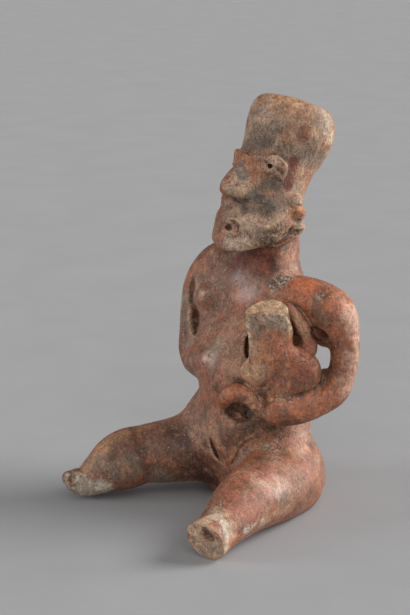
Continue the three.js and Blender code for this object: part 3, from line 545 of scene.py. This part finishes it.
# Contrast, roughness and bump heights; pairs are for matt and for burnished clay
SPECKLE_CONTRAST = (1.1, 0.55)
ROUGHNESS = (0.82, 0.32)
ROUGHNESS_GRAIN = (0.3, 0.7, -0.07, 0.07)
WORN_DULLING = 0.5
SPECULAR = 0.62
GRAIN_HEIGHT = (1.0, 0.15)
SPECKLE_HEIGHT = (1.6, 0.35)
STROKE_HEIGHT = 0.5
PIT_HEIGHT = -0.9
LIME_HEIGHT = 1.2
BREAK_HEIGHT = 1.4
BUMP = dict(Strength=0.9, Distance=0.34 * MM)

# Soft lights far away: direction as right, up, toward the camera; spread in degrees
WARM = (1.0, 0.98, 0.95)
COOL = (0.96, 0.98, 1.0)
LIGHTS = {
    "key": dict(direction=(1.0, 0.76, -0.05), spread=32, strength=2.1, colour=WARM),
    "rim": dict(direction=(1.0, 0.08, -0.25), spread=20, strength=2.0, colour=WARM),
    "side": dict(direction=(-1.0, 0.3, 0.15), spread=24, strength=1.0, colour=COOL),
    "front": dict(direction=(0.1, 0.8, 1.0), spread=50, strength=0.75, colour=WARM),
}
WORLD_STRENGTH = 0.28

# Burnishing strokes run up and down: how much shorter their noise is read along z
STROKE_SHORTENING = 0.22

# Studio floor, in metres, with a broad and faint change of brightness
FLOOR_HALF = 6.0
FLOOR_NOISE = (60, 4, 0.55)
FLOOR_SHADE = (0.3, 0.7, 0.97, 1.03)
FLOOR_ROUGHNESS = 0.9
FLOOR_SPECULAR = 0.2

# Whole numbers that scatter the noise
CELL_SCATTER = (374761393, 668265263, 2147483647)
SEED_SCATTER = 974634777
BIT_SCATTER = ((13, 1274126177), (16, 2246822519))
SEED_SHIFT = np.array([13.7, 7.3, 3.1])


def smooth_min(a, b, width):
    """The smaller of two distances, rounded where they meet."""
    h = np.maximum(width - np.abs(a - b), 0) / width
    return np.minimum(a, b) - h * h * (width * 0.25)


def smooth_max(a, b, width):
    return -smooth_min(-a, -b, width)


def smooth_step(value, low, high):
    t = np.clip((value - low) / (high - low), 0, 1)
    return t * t * (3 - 2 * t)


def rows(text):
    """Rows of numbers from a text with commas in a row and spaces between rows."""
    return [[float(number) for number in row.split(",")] for row in text.split()]


def mirror(point, side):
    return [point[0] * side, *point[1:]]


def smooth_rows(table, steps):
    """Rows of a table joined by a smooth curve through every row."""
    table = np.array(table, float)
    out = []
    for i in range(len(table) - 1):
        a, b, c, d = (table[min(max(i + k, 0), len(table) - 1)] for k in (-1, 0, 1, 2))
        for s in range(steps):
            t = s / steps
            out.append(0.5 * (2 * b + (c - a) * t + (2 * a - 5 * b + 4 * c - d) * t * t
                              + (3 * b - a - 3 * c + d) * t ** 3))
    out.append(table[-1])
    return np.array(out)


def turned_axes(turn):
    """Axes of a turned frame, angles in degrees about x, y and z."""
    ax, ay, az = (radians(v) for v in turn)
    rx = np.array([[1, 0, 0], [0, cos(ax), -sin(ax)], [0, sin(ax), cos(ax)]])
    ry = np.array([[cos(ay), 0, sin(ay)], [0, 1, 0], [-sin(ay), 0, cos(ay)]])
    rz = np.array([[cos(az), -sin(az), 0], [sin(az), cos(az), 0], [0, 0, 1]])
    return (rz @ ry @ rx).T


def in_turned_frame(grid, origin, turn):
    """Coordinates of the grid's points in a turned frame that stands at the origin."""
    d = [g - np.float32(o) for g, o in zip(grid, origin)]
    return [a[0] * d[0] + a[1] * d[1] + a[2] * d[2] for a in turned_axes(turn).astype(np.float32)]


def noise(points, size, seed):
    """Smooth noise from 0 to 1 at points in millimetres, with lumps of that size."""
    q = points / size + seed * SEED_SHIFT
    cell = np.floor(q).astype(np.int64)
    f = q - cell
    f = f * f * (3 - 2 * f)
    total = np.zeros(len(points))
    for corner in np.ndindex(2, 2, 2):
        i, j, k = ((cell + corner) * CELL_SCATTER).T
        bits = (i ^ j ^ k ^ (seed * SEED_SCATTER)) & 0xFFFFFFFF
        for shift, factor in BIT_SCATTER:
            bits = ((bits ^ (bits >> shift)) * factor) & 0xFFFFFFFF
        weight = np.prod(np.where(corner, f, 1 - f), axis=1)
        total += weight * (((bits >> 8) & 0xFFFF) / 0xFFFF)
    return total


def layered_noise(points, size, seed, layers=3):
    """Noise from about -1 to 1 with finer layers on it."""
    total = np.zeros(len(points))
    weight = 1.0
    for layer in range(layers):
        total += weight * (2 * noise(points, size / 2 ** layer, seed + layer) - 1)
        weight *= 0.5
    return total


class Clay:
    """Distances to the surface on a grid, in millimetres, negative inside the clay."""

    def __init__(self):
        self.count = np.ceil((GRID_HIGH - GRID_LOW) / GRID_STEP).astype(int) + 1
        self.axis = [(GRID_LOW[i] + GRID_STEP * np.arange(self.count[i])).astype(np.float32)
                     for i in range(3)]
        self.value = np.full(self.count, FAR_AWAY, np.float32)

    def window(self, low, high, reach):
        """The part of the grid within reach of a box, and the x, y and z of its points."""
        first = np.floor((np.array(low) - reach - GRID_LOW) / GRID_STEP).astype(int)
        last = np.ceil((np.array(high) + reach - GRID_LOW) / GRID_STEP).astype(int) + 1
        first = np.clip(first, 0, self.count)
        last = np.clip(last, first, self.count)
        part = tuple(slice(a, b) for a, b in zip(first, last))
        x, y, z = (self.axis[i][part[i]] for i in range(3))
        return part, (x[:, None, None], y[None, :, None], z[None, None, :])

    def meet(self, part, distance, blend, carve):
        """Adds a form to a part of the grid, or carves it away."""
        if carve:
            self.value[part] = smooth_max(self.value[part], -distance, blend)
        else:
            self.value[part] = smooth_min(self.value[part], distance, blend)
        return self

    def egg(self, centre, radii, turn=(0, 0, 0), blend=4, carve=False):
        part, grid = self.window(np.array(centre) - max(radii), np.array(centre) + max(radii),
                                 blend + PRESS_MARGIN)
        q = [v / r for v, r in zip(in_turned_frame(grid, centre, turn), radii)]
        size = np.sqrt(q[0] ** 2 + q[1] ** 2 + q[2] ** 2)
        slope = np.sqrt(sum((v / r) ** 2 for v, r in zip(q, radii))) + TINY
        return self.meet(part, size * (size - 1) / slope, blend, carve)

    def coil(self, stations, blend=4, carve=False):
        line = smooth_rows(stations, COIL_STEPS).astype(np.float32)
        thick = line[:, 3].max()
        whole, _ = self.window(line[:, :3].min(0) - thick, line[:, :3].max(0) + thick,
                               blend + PRESS_MARGIN)
        start = [w.start for w in whole]
        layer = np.full([w.stop - w.start for w in whole], FAR_AWAY, np.float32)
        for a, b in zip(line[:-1], line[1:]):
            fat = max(a[3], b[3])
            part, (x, y, z) = self.window(np.minimum(a, b)[:3] - fat, np.maximum(a, b)[:3] + fat,
                                          blend + PRESS_MARGIN)
            local = tuple(slice(p.start - s, p.stop - s) for p, s in zip(part, start))
            along = b[:3] - a[:3]
            dx, dy, dz = x - a[0], y - a[1], z - a[2]
            t = np.clip((dx * along[0] + dy * along[1] + dz * along[2])
                        / (along @ along + TINY), 0, 1)
            away = np.sqrt((dx - t * along[0]) ** 2 + (dy - t * along[1]) ** 2
                           + (dz - t * along[2]) ** 2)
            layer[local] = np.minimum(layer[local], away - a[3] - t * (b[3] - a[3]))
        return self.meet(whole, layer, blend, carve)

    def loft(self, sections, origin=(0, 0, 0), turn=(0, 0, 0), blend=4, corner=2, end=3):
        """Stacked sections along z of a turned frame; corner 2 is an ellipse, more is squarer."""
        line = smooth_rows(sections, LOFT_STEPS)
        line = line[np.argsort(line[:, 0])]
        first, last = line[0, 0], line[-1, 0]
        reach = (np.hypot(line[:, 1], line[:, 2]) + line[:, 3:5].max(1)).max()
        ends = np.array([np.array(origin) + turned_axes(turn)[2] * v for v in (first, last)])
        part, grid = self.window(ends.min(0) - reach, ends.max(0) + reach, blend + PRESS_MARGIN)
        q = in_turned_frame(grid, origin, turn)
        level = np.clip(q[2], first, last)
        cx, cy, a, b = (np.interp(level, line[:, 0], line[:, i]).astype(np.float32)
                        for i in (1, 2, 3, 4))
        ex, ey = np.abs(q[0] - cx), np.abs(q[1] - cy)
        around = np.hypot(ex / a, ey / b) + TINY
        slope = np.hypot(ex / (a * a), ey / (b * b)) / around + TINY
        size = around if corner == 2 else ((ex / a) ** corner + (ey / b) ** corner) ** (1 / corner)
        side = np.maximum((size - 1) / slope, -np.minimum(a, b))
        distance = smooth_max(side, np.maximum(q[2] - last, first - q[2]), end)
        return self.meet(part, distance, blend, False)

    def slice(self, plane, rounding, low=GRID_LOW, high=GRID_HIGH):
        """Takes away everything in front of a plane, inside a part of the grid."""
        point, facing = plane
        n = np.array(facing, np.float32) / np.linalg.norm(facing).astype(np.float32)
        part, (x, y, z) = self.window(low, high, 0)
        d = (x - point[0]) * n[0] + (y - point[1]) * n[1] + (z - point[2]) * n[2]
        self.value[part] = smooth_max(self.value[part], d, rounding)
        return self

    def join(self, other, blend):
        self.value = smooth_min(self.value, other.value, blend)
        return self

    def at(self, points):
        """Distances at any points, between the grid's own."""
        q = (points - GRID_LOW) / GRID_STEP
        inside = ((q >= 0) & (q < self.count - 1)).all(1)
        q = np.clip(q, 0, self.count - 1.001)
        cell = q.astype(int)
        f = q - cell
        total = np.zeros(len(points))
        for corner in np.ndindex(2, 2, 2):
            weight = np.prod(np.where(corner, f, 1 - f), axis=1)
            i, j, k = (cell + corner).T
            total += weight * self.value[i, j, k]
        return np.where(inside, total, FAR_AWAY)

    def facing(self, points):
        """Unit normals at points near the surface."""
        steps = np.eye(3) * FACING_REACH
        slope = np.stack([self.at(points + s) - self.at(points - s) for s in steps], 1)
        return slope / (np.linalg.norm(slope, axis=1, keepdims=True) + TINY)


def sculpt_head():
    leaning = dict(origin=HEAD_BASE, turn=(-HEAD_LEAN, 0, 0))
    head = (Clay()
            .loft(HEAD, **leaning)
            .egg(**JAW)
            .slice(JAW_UNDERSIDE, JAW_ROUND)
            .coil(JAW_ROLL, blend=4)
            .coil(BROW, blend=1)
            .loft(NOSE, **leaning, blend=2, corner=1.9, end=2.5)
            .coil(LIPS, blend=1.2)
            .egg(**MOUTH_HOLE, carve=True)
            .coil(MOUTH_SLIT, blend=0.5, carve=True))
    for side in (1, -1):
        for centre, radii in EAR_PELLETS:
            head.egg(mirror(centre, side), radii, blend=1.1)
        turn = (0, side * EYE_SLANT, side * EYE_TURN)
        head.egg(EYES[side], EYE_RADII, turn=turn, blend=1.2)
        head.egg(mirror(PUPIL, side), PUPIL_RADII, turn=turn, blend=0.5, carve=True)
    return head


def sculpt_child():
    return (Clay()
            .loft(CHILD_BODY, origin=CHILD_AXIS, turn=(0, 0, CHILD_TURN), blend=5, corner=2.6,
                  end=2)
            .slice(CHILD_BREAK, rounding=1)
            .egg(**CHILD_BACK)
            .coil(CHILD_ARM, blend=1.5)
            .coil(CHILD_THIGH, blend=7)
            .coil(CHILD_FOOT, blend=3))


def sculpt_figure():
    clay = sculpt_head().loft(TRUNK, blend=2)
    for centre, radii, blend in SWELLINGS.values():
        clay.egg(centre, radii, blend=blend)
    (clay.coil(LEFT_LEG, blend=9)
         .coil(RIGHT_LEG, blend=14)
         .egg(**LEFT_ARMPIT)
         .coil(LEFT_ARM, blend=5)
         .coil(RIGHT_ARM, blend=7)
         .coil(THIGH_ROOT, blend=9)
         .join(sculpt_child(), blend=2.5)
         .egg(**FOOT_HOLLOW, carve=True)
         .coil(RIGHT_ARM_SLIT, blend=1.5, carve=True)
         .egg(**RIGHT_ARM_HOLLOW, carve=True)
         .egg(**ARM_RECESS, carve=True)
         .egg(**CHILD_SIDE_GAP, carve=True)
         .egg(**CHILD_ARM_GAP, carve=True)
         .coil(GROIN_LINE, blend=1, carve=True))
    return clay


def break_ankles(clay):
    """Cuts the flat seat and the two broken feet."""
    return (clay.slice(([0, 0, SEAT_LEVEL], [0, 0, -1]), SEAT_ROUND)
            .slice(LEFT_ANKLE, ANKLE_ROUND, low=[FEET_BEYOND, *GRID_LOW[1:]])
            .egg(**LEFT_ANKLE_PIT, carve=True)
            .slice(RIGHT_ANKLE, ANKLE_ROUND, high=[-FEET_BEYOND, *GRID_HIGH[1:]]))


def draw_skin(clay):
    """One vertex in every cube the surface crosses, and a square across each crossed edge."""
    f = clay.value
    inside = f < 0
    n = f.shape
    corners = list(np.ndindex(2, 2, 2))
    filled = np.zeros([v - 1 for v in n], np.int8)
    for i, j, k in corners:
        filled += inside[i:n[0] - 1 + i, j:n[1] - 1 + j, k:n[2] - 1 + k]
    cells = np.argwhere((filled > 0) & (filled < 8))
    vertex_of = np.full(filled.shape, -1, np.int32)
    vertex_of[tuple(cells.T)] = np.arange(len(cells))
    value = {c: f[tuple((cells + c).T)].astype(float) for c in corners}
    total, crossings = np.zeros((len(cells), 3)), np.zeros(len(cells))
    for a in corners:
        for axis in range(3):
            if a[axis]:
                continue
            b = tuple(v + (q == axis) for q, v in enumerate(a))
            crossed = (value[a] < 0) != (value[b] < 0)
            t = value[a] / np.where(crossed, value[a] - value[b], 1)
            place = np.tile(np.array(a, float), (len(cells), 1))
            place[:, axis] += t
            total += place * crossed[:, None]
            crossings += crossed
    points = GRID_LOW + GRID_STEP * (cells + total / crossings[:, None])
    squares = []
    for axis in range(3):
        beside = [(axis + 1) % 3, (axis + 2) % 3]
        here = tuple(slice(0, v - 1) if q == axis else slice(1, v - 1) for q, v in enumerate(n))
        after = tuple(slice(1, v) if q == axis else slice(1, v - 1) for q, v in enumerate(n))
        for going_out in (True, False):
            edge = inside[here] & ~inside[after] if going_out else ~inside[here] & inside[after]
            cell = np.argwhere(edge)
            cell[:, beside] += 1
            ring = []
            for back in ((1, 1), (0, 1), (0, 0), (1, 0)):
                q = cell.copy()
                q[:, beside] -= back
                ring.append(vertex_of[tuple(q.T)])
            squares.append(np.stack(ring if going_out else ring[::-1], 1))
    return points, np.concatenate(squares)


class Sight:
    """The camera: where it stands, and the clay's surface behind a pixel of its frame."""

    def __init__(self):
        a, e = radians(CAMERA_AZIMUTH), radians(CAMERA_ELEVATION)
        self.back = np.array([sin(a) * cos(e), -cos(a) * cos(e), sin(e)])
        self.right = np.array([cos(a), sin(a), 0])
        self.up = np.cross(self.back, self.right)
        across = (ORIGIN_PIXEL[0] - FRAME_WIDTH / 2) * MM_PER_PIXEL
        down = (ORIGIN_PIXEL[1] - FRAME_HEIGHT / 2) * MM_PER_PIXEL
        self.place = CAMERA_DISTANCE * self.back - across * self.right + down * self.up

    def touch(self, clay, pixel):
        """The first point of the clay behind a pixel, or the closest where the pixel misses it."""
        across = (pixel[0] - FRAME_WIDTH / 2) * MM_PER_PIXEL / CAMERA_DISTANCE
        down = (pixel[1] - FRAME_HEIGHT / 2) * MM_PER_PIXEL / CAMERA_DISTANCE
        ray = across * self.right - down * self.up - self.back
        depth = np.arange(*SIGHT_DEPTHS)
        points = self.place + depth[:, None] * ray
        value = clay.at(points)
        hits = np.nonzero(value < 0)[0]
        if not len(hits):
            closest = points[[value.argmin()]]
            return (closest - clay.facing(closest) * value.min())[0]
        before, after = hits[0] - 1, hits[0]
        t = value[before] / (value[before] - value[after])
        return points[before] + t * (points[after] - points[before])


def settled(clay, points):
    """Points close to the surface, moved onto it."""
    for _ in range(SETTLING_STEPS):
        points = points - clay.at(points)[:, None] * clay.facing(points)
    return points


def press_relief(clay, sight):
    """Raised rolls and carved creases, each along the pixels where it shows."""
    strokes = []
    for name, (raised, width, sink, pixels) in RELIEF.items():
        line = np.array([sight.touch(clay, p) for p in rows(pixels)])
        lines = [line]
        if name in ON_BOTH_SIDES:
            lines.append(settled(clay, line * [-1, 1, 1]))
        taper = 1 - STROKE_TAPER * np.abs(np.linspace(-1, 1, len(line))) ** 3
        for line in lines:
            line = line - clay.facing(line) * sink
            strokes.append((raised, np.column_stack([line, width * taper])))
    for raised, line in strokes:
        blend = RAISED_BLEND if raised else CARVED_BLEND
        clay.coil(line.tolist(), blend, carve=not raised)


def covered(points, facing, spots):
    """How strongly spots cover each point: full at a spot's middle and none past its radius.

    A spot is a place, its normal, its radius and its strength, and it stays on the side of the
    clay that faces as the place does.
    """
    cover = np.zeros(len(points))
    for place, place_facing, radius, strength in spots:
        away = np.linalg.norm(points - place, axis=1) / radius
        touched = np.nonzero(away < 1)[0]
        weight = strength * (1 - smooth_step(away[touched], *SPOT_SPAN)) \
            * smooth_step(facing[touched] @ place_facing, *SPOT_SIDE_SPAN)
        cover[touched] = np.maximum(cover[touched], weight)
    return cover


def linear(colour):
    """A hex colour as linear red, green and blue."""
    srgb = np.array([int(colour[i:i + 2], 16) / 255 for i in (0, 2, 4)])
    return np.where(srgb <= 0.04045, srgb / 12.92, ((srgb + 0.055) / 1.055) ** 2.4)


def lumps(points, noises):
    return sum(height * layered_noise(points, size, seed, layers)
               for height, size, seed, layers in noises)


def roughen(points, facing, broken):
    """Hand-made unevenness all over, and grit on the broken places."""
    pit_depth = PIT_DEPTH + BROKEN_PIT_DEPTH * broken
    pits = smooth_step(noise(points, *PIT_NOISE), *PIT_SPAN) * pit_depth
    height = lumps(points, HAND_LUMPS) + lumps(points, GRIT_LUMPS) * broken - pits
    seated = smooth_step(points[:, 2], *SEAT_SPAN)
    return points + facing * (height * seated)[:, None]


def paint(points, facing, hollow, stains_and_painted_light):
    """Colour of each point: cloudy slip, then the marks, painted shade and painted highlights in
    their order, then painted shade in narrow hollows.
    """
    colour = np.tile(linear(TONES["slip"]), (len(points), 1))

    def cover(tone, weight):
        colour[:] += (linear(TONES[tone]) - colour) * np.clip(weight, 0, 1)[:, None]

    for tone, strength, size, seed, low, high in CLOUDS:
        cover(tone, strength * smooth_step(layered_noise(points, size, seed), low, high))
    ragged = lumps(points, STAIN_RAGGEDNESS)
    for tone, strength, spots in stains_and_painted_light:
        unevenness = EVEN_RAGGEDNESS if tone in EVEN_TONES else 1.0
        marked = covered(points, facing, spots) * (1 + unevenness * ragged)
        cover(tone, strength * smooth_step(marked, *STAIN_SPAN))
    # Painted shade: narrow hollows are darkened
    cover("soil and painted shade", HOLLOW_SHADE * hollow)
    return colour


class Graph:
    """A new material and its nodes, made and linked by name."""

    # Sockets of a node that mixes colours: factor and the two colours, and the result
    MIX_INPUTS = (0, 6, 7)
    MIX_OUTPUT = 2

    def __init__(self, name):
        self.material = bpy.data.materials.new(name)
        self.material.use_nodes = True
        self.tree = self.material.node_tree
        self.tree.nodes.clear()
        self.place = self.node("TexCoord").outputs["Object"]

    def feed(self, socket, value):
        if isinstance(value, bpy.types.NodeSocket):
            self.tree.links.new(value, socket)
        else:
            socket.default_value = value

    def node(self, kind, settings=None, **inputs):
        made = self.tree.nodes.new("ShaderNode" + kind)
        for name, value in (settings or {}).items():
            setattr(made, name, value)
        for name, value in inputs.items():
            label = name.replace("_", " ").lower()
            socket = next(s for s in made.inputs if s.name.lower() == label and s.enabled)
            self.feed(socket, value)
        return made

    def attribute(self, name, output="Fac"):
        return self.node("Attribute", {"attribute_name": name}).outputs[output]

    def math(self, operation, a, b):
        made = self.node("Math", {"operation": operation})
        for socket, value in zip(made.inputs, (a, b)):
            self.feed(socket, value)
        return made.outputs[0]

    def times(self, a, b):
        return self.math("MULTIPLY", a, b)

    def span(self, value, low, high, to_low=0.0, to_high=1.0):
        made = self.node("MapRange", Value=value, From_Min=low, From_Max=high, To_Min=to_low,
                         To_Max=to_high)
        return made.outputs["Result"]

    def mix(self, factor, a, b, how="MIX"):
        made = self.node("Mix", {"data_type": "RGBA", "blend_type": how})
        for index, value in zip(self.MIX_INPUTS, (factor, a, b)):
            self.feed(made.inputs[index], value)
        return made.outputs[self.MIX_OUTPUT]

    def tint(self, colour, cover, tone):
        return self.mix(cover, colour, [*linear(TONES[tone]), 1])

    def shade(self, colour, brightness):
        return self.mix(1.0, colour, brightness, "MULTIPLY")

    def noise(self, size, detail, roughness=0.55, place=None):
        """Noise with lumps of that size in millimetres."""
        return self.node("TexNoise", Vector=place or self.place, Scale=1 / (size * MM),
                         Detail=detail, Roughness=roughness).outputs["Fac"]

    def dots(self, spacing, radius):
        """Round dots, 1 inside and 0 outside, spacing and radius in millimetres."""
        made = self.node("TexVoronoi", Vector=self.place, Scale=1 / (spacing * MM))
        edge = radius / spacing
        return self.span(made.outputs["Distance"], edge, DOT_CORE * edge)

    def surface(self, **inputs):
        shader = self.node("BsdfPrincipled", **inputs)
        self.node("OutputMaterial", Surface=shader.outputs[0])
        return self.material


def clay_material():
    g = Graph("fired_clay_worn")
    burnish, worn, crust, broken = (g.attribute(name)
                                    for name in ("burnish", "worn", "crust", "broken"))
    speckle, grain, crust_noise = (g.noise(*kind) for kind in (SPECKLE, GRAIN, LIME_CRUST))
    upright = g.node("Mapping", Vector=g.place, Scale=(1, 1, STROKE_SHORTENING)).outputs[0]
    strokes = g.noise(*STROKES, place=upright)
    worn_edge = g.times(worn, g.span(speckle, *WORN_SPAN))
    lime = g.times(crust, g.span(crust_noise, *LIME_SPAN))

    def by_burnish(pair):
        return g.span(burnish, 0, 1, *pair)

    colour = g.attribute("paint", "Color")
    for kind, span in SHADES:
        colour = g.shade(colour, g.span(g.noise(*kind), *span))
    for tone, size, span, covers in FILMS:
        film = g.span(g.noise(size, *FILM_DETAIL), *span)
        colour = g.tint(colour, g.times(film, by_burnish(covers)), tone)
    colour = g.shade(colour, g.span(strokes, *STROKE_SHADE))
    contrast = g.times(g.span(speckle, *SPECKLE_SHADE), by_burnish(SPECKLE_CONTRAST))
    colour = g.shade(colour, g.math("ADD", contrast, 1.0))
    colour = g.tint(colour, worn_edge, "worn edge")
    for tone, strength, spacing, radius, cluster, span in DOTS:
        dots = g.times(g.dots(spacing, radius), g.span(g.noise(*cluster), *span))
        colour = g.tint(colour, g.times(dots, strength), tone)
    colour = g.tint(colour, lime, "lime")

    sheen = g.math("SUBTRACT", burnish, g.times(worn_edge, WORN_DULLING))
    rough = g.math("ADD", g.span(sheen, 0, 1, *ROUGHNESS), g.span(speckle, *ROUGHNESS_GRAIN))
    pits = g.times(g.dots(**PIT_DOTS), g.span(g.noise(*PIT_CLUSTER), *PIT_CLUSTER_SPAN))
    height = g.times(grain, by_burnish(GRAIN_HEIGHT))
    for relief, rise in ((speckle, by_burnish(SPECKLE_HEIGHT)), (strokes, STROKE_HEIGHT),
                         (pits, PIT_HEIGHT), (lime, LIME_HEIGHT),
                         (g.times(broken, speckle), BREAK_HEIGHT)):
        height = g.math("ADD", height, g.times(relief, rise))
    bump = g.node("Bump", Height=height, **BUMP).outputs["Normal"]
    return g.surface(Base_Color=colour, Roughness=rough, Normal=bump, Specular_IOR_Level=SPECULAR)


def floor_material():
    g = Graph("studio_floor")
    colour = g.shade([*linear(TONES["floor"]), 1], g.span(g.noise(*FLOOR_NOISE), *FLOOR_SHADE))
    return g.surface(Base_Color=colour, Roughness=FLOOR_ROUGHNESS,
                     Specular_IOR_Level=FLOOR_SPECULAR)


def new_object(name, data):
    made = bpy.data.objects.new(name, data)
    bpy.context.scene.collection.objects.link(made)
    return made


def new_mesh(name, points, faces):
    """A mesh from points in metres and faces that all have the same number of corners."""
    mesh = bpy.data.meshes.new(name)
    sides = faces.shape[1]
    mesh.vertices.add(len(points))
    mesh.vertices.foreach_set("co", points.astype(np.float32).ravel())
    mesh.loops.add(faces.size)
    mesh.loops.foreach_set("vertex_index", faces.astype(np.int32).ravel())
    mesh.polygons.add(len(faces))
    mesh.polygons.foreach_set("loop_start", np.arange(0, faces.size, sides, dtype=np.int32))
    mesh.update(calc_edges=True)
    mesh.validate()
    return mesh


def set_attribute(mesh, name, values):
    if values.ndim == 2:
        layer = mesh.attributes.new(name, "FLOAT_COLOR", "POINT")
        values = np.column_stack([values, np.ones(len(values))])
        layer.data.foreach_set("color", values.astype(np.float32).ravel())
    else:
        layer = mesh.attributes.new(name, "FLOAT", "POINT")
        layer.data.foreach_set("value", values.astype(np.float32))


def thin_out(mesh):
    """Merges vertices, flattest places first, until the mesh has few enough triangles."""
    holder = new_object("thinning", mesh)
    thinner = holder.modifiers.new("thin", "DECIMATE")
    thinner.ratio = min(1.0, TRIANGLE_LIMIT / (2 * len(mesh.polygons)))
    graph = bpy.context.evaluated_depsgraph_get()
    thin = bpy.data.meshes.new_from_object(holder.evaluated_get(graph))
    bpy.data.objects.remove(holder)
    bpy.data.meshes.remove(mesh)
    return thin


def located(clay, sight, pixel_or_point):
    """A place and its normal, from a pixel where it shows or a point close to the surface."""
    place = np.array(pixel_or_point, float)
    if len(place) == 2:
        place = sight.touch(clay, place)
    else:
        place = settled(clay, place[None])[0]
    return place, clay.facing(place[None])[0]


def figure_mesh(clay, broken_spots):
    """The skin of the clay with its unevenness, inside the CAD box."""
    points, squares = draw_skin(clay)
    facing = clay.facing(points)
    points = roughen(points, facing, covered(points, facing, broken_spots))
    points = np.clip(points, CAD_LOW + BOX_MARGIN, CAD_HIGH - BOX_MARGIN)
    return thin_out(new_mesh("seated_mother", points * MM, squares))


def set_surface(mesh, clay, spots, stains_and_painted_light):
    """Colour and qualities of the surface at each vertex, which the material reads."""
    points = np.zeros(len(mesh.vertices) * 3, np.float32)
    mesh.vertices.foreach_get("co", points)
    points = points.reshape(-1, 3).astype(float) / MM
    facing = clay.facing(points)
    hollow = smooth_step(1 - clay.at(points + facing * EDGE_REACH) / EDGE_REACH, *HOLLOW_SPAN)
    ridge = smooth_step(1 + clay.at(points - facing * EDGE_REACH) / EDGE_REACH, *RIDGE_SPAN)
    broken, burnish, crust = (covered(points, facing, spots[name])
                              for name in ("broken", "burnish", "crust"))
    burnish = burnish * (1 - BROKEN_DULLING * broken) * (1 - hollow)
    below_head = smooth_step(HEAD_BASE[2] - points[:, 2], 0, SHEEN_CHANGE)
    slip_sheen = (HEAD_SHEEN + BODY_SHEEN * below_head) * (1 - broken)
    set_attribute(mesh, "paint", paint(points, facing, hollow, stains_and_painted_light))
    set_attribute(mesh, "burnish", np.maximum(burnish, slip_sheen))
    set_attribute(mesh, "worn", np.clip(ridge * (1 - hollow) + BROKEN_WEAR * broken, 0, 1))
    set_attribute(mesh, "crust", crust)
    set_attribute(mesh, "broken", broken)


def make_figure(sight):
    clay = sculpt_figure()

    def find(spots):
        return [(*located(clay, sight, at), radius, strength) for *at, radius, strength in spots]

    spots = {name: find(rows(text)) for name, text in SPOTS.items()}
    break_ankles(clay)
    spots["broken"] += find(rows(BROKEN_FEET))
    stains_and_painted_light = [(tone, strength, find([(*at, radius, 1) for at in rows(text)]))
              for tone, strength, radius, text in STAINS_AND_PAINTED_LIGHT]
    press_relief(clay, sight)
    mesh = figure_mesh(clay, spots["broken"])
    set_surface(mesh, clay, spots, stains_and_painted_light)
    mesh.shade_smooth()
    mesh.materials.append(clay_material())
    figure = new_object("seated_mother", mesh)
    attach(figure, "root")
    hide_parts("seated_figure")


def make_floor():
    corners = FLOOR_HALF * np.array([[-1, -1, 0], [1, -1, 0], [1, 1, 0], [-1, 1, 0]])
    mesh = new_mesh("studio_floor", corners, np.array([[0, 1, 2, 3]]))
    mesh.materials.append(floor_material())
    floor = new_object("studio_floor", mesh)


def make_camera(sight):
    data = bpy.data.cameras.new("photo_camera")
    data.sensor_width = SENSOR_WIDTH
    data.lens = SENSOR_WIDTH * CAMERA_DISTANCE / (max(FRAME_WIDTH, FRAME_HEIGHT) * MM_PER_PIXEL)
    data.clip_start, data.clip_end = CLIP_METRES
    camera = new_object("photo_camera", data)
    axes = Matrix((sight.right, sight.up, sight.back)).transposed().to_4x4()
    camera.matrix_world = Matrix.Translation(sight.place * MM) @ axes
    bpy.context.scene.camera = camera


def make_light(name, sight, direction, spread, strength, colour):
    """A soft light far away, direction as right, up and toward the camera."""
    up = np.array([0, 0, 1])
    way = np.array(direction) @ [sight.right, up, np.cross(sight.right, up)]
    way /= np.linalg.norm(way)
    across = np.cross(up, way)
    across /= np.linalg.norm(across)
    data = bpy.data.lights.new(name, "SUN")
    data.angle = radians(spread)
    data.energy = strength
    data.color = colour
    light = new_object(name, data)
    light.matrix_world = Matrix((across, np.cross(way, across), way)).transposed().to_4x4()


def make_world():
    world = bpy.data.worlds.new("studio")
    world.use_nodes = True
    background = world.node_tree.nodes["Background"]
    background.inputs["Color"].default_value = [*linear(TONES["studio air"]), 1]
    background.inputs["Strength"].default_value = WORLD_STRENGTH
    bpy.context.scene.world = world
    bpy.context.scene.view_settings.view_transform = "Standard"


sight = Sight()
make_camera(sight)
make_floor()
make_world()
for name, light in LIGHTS.items():
    make_light(name, sight, **light)
make_figure(sight)
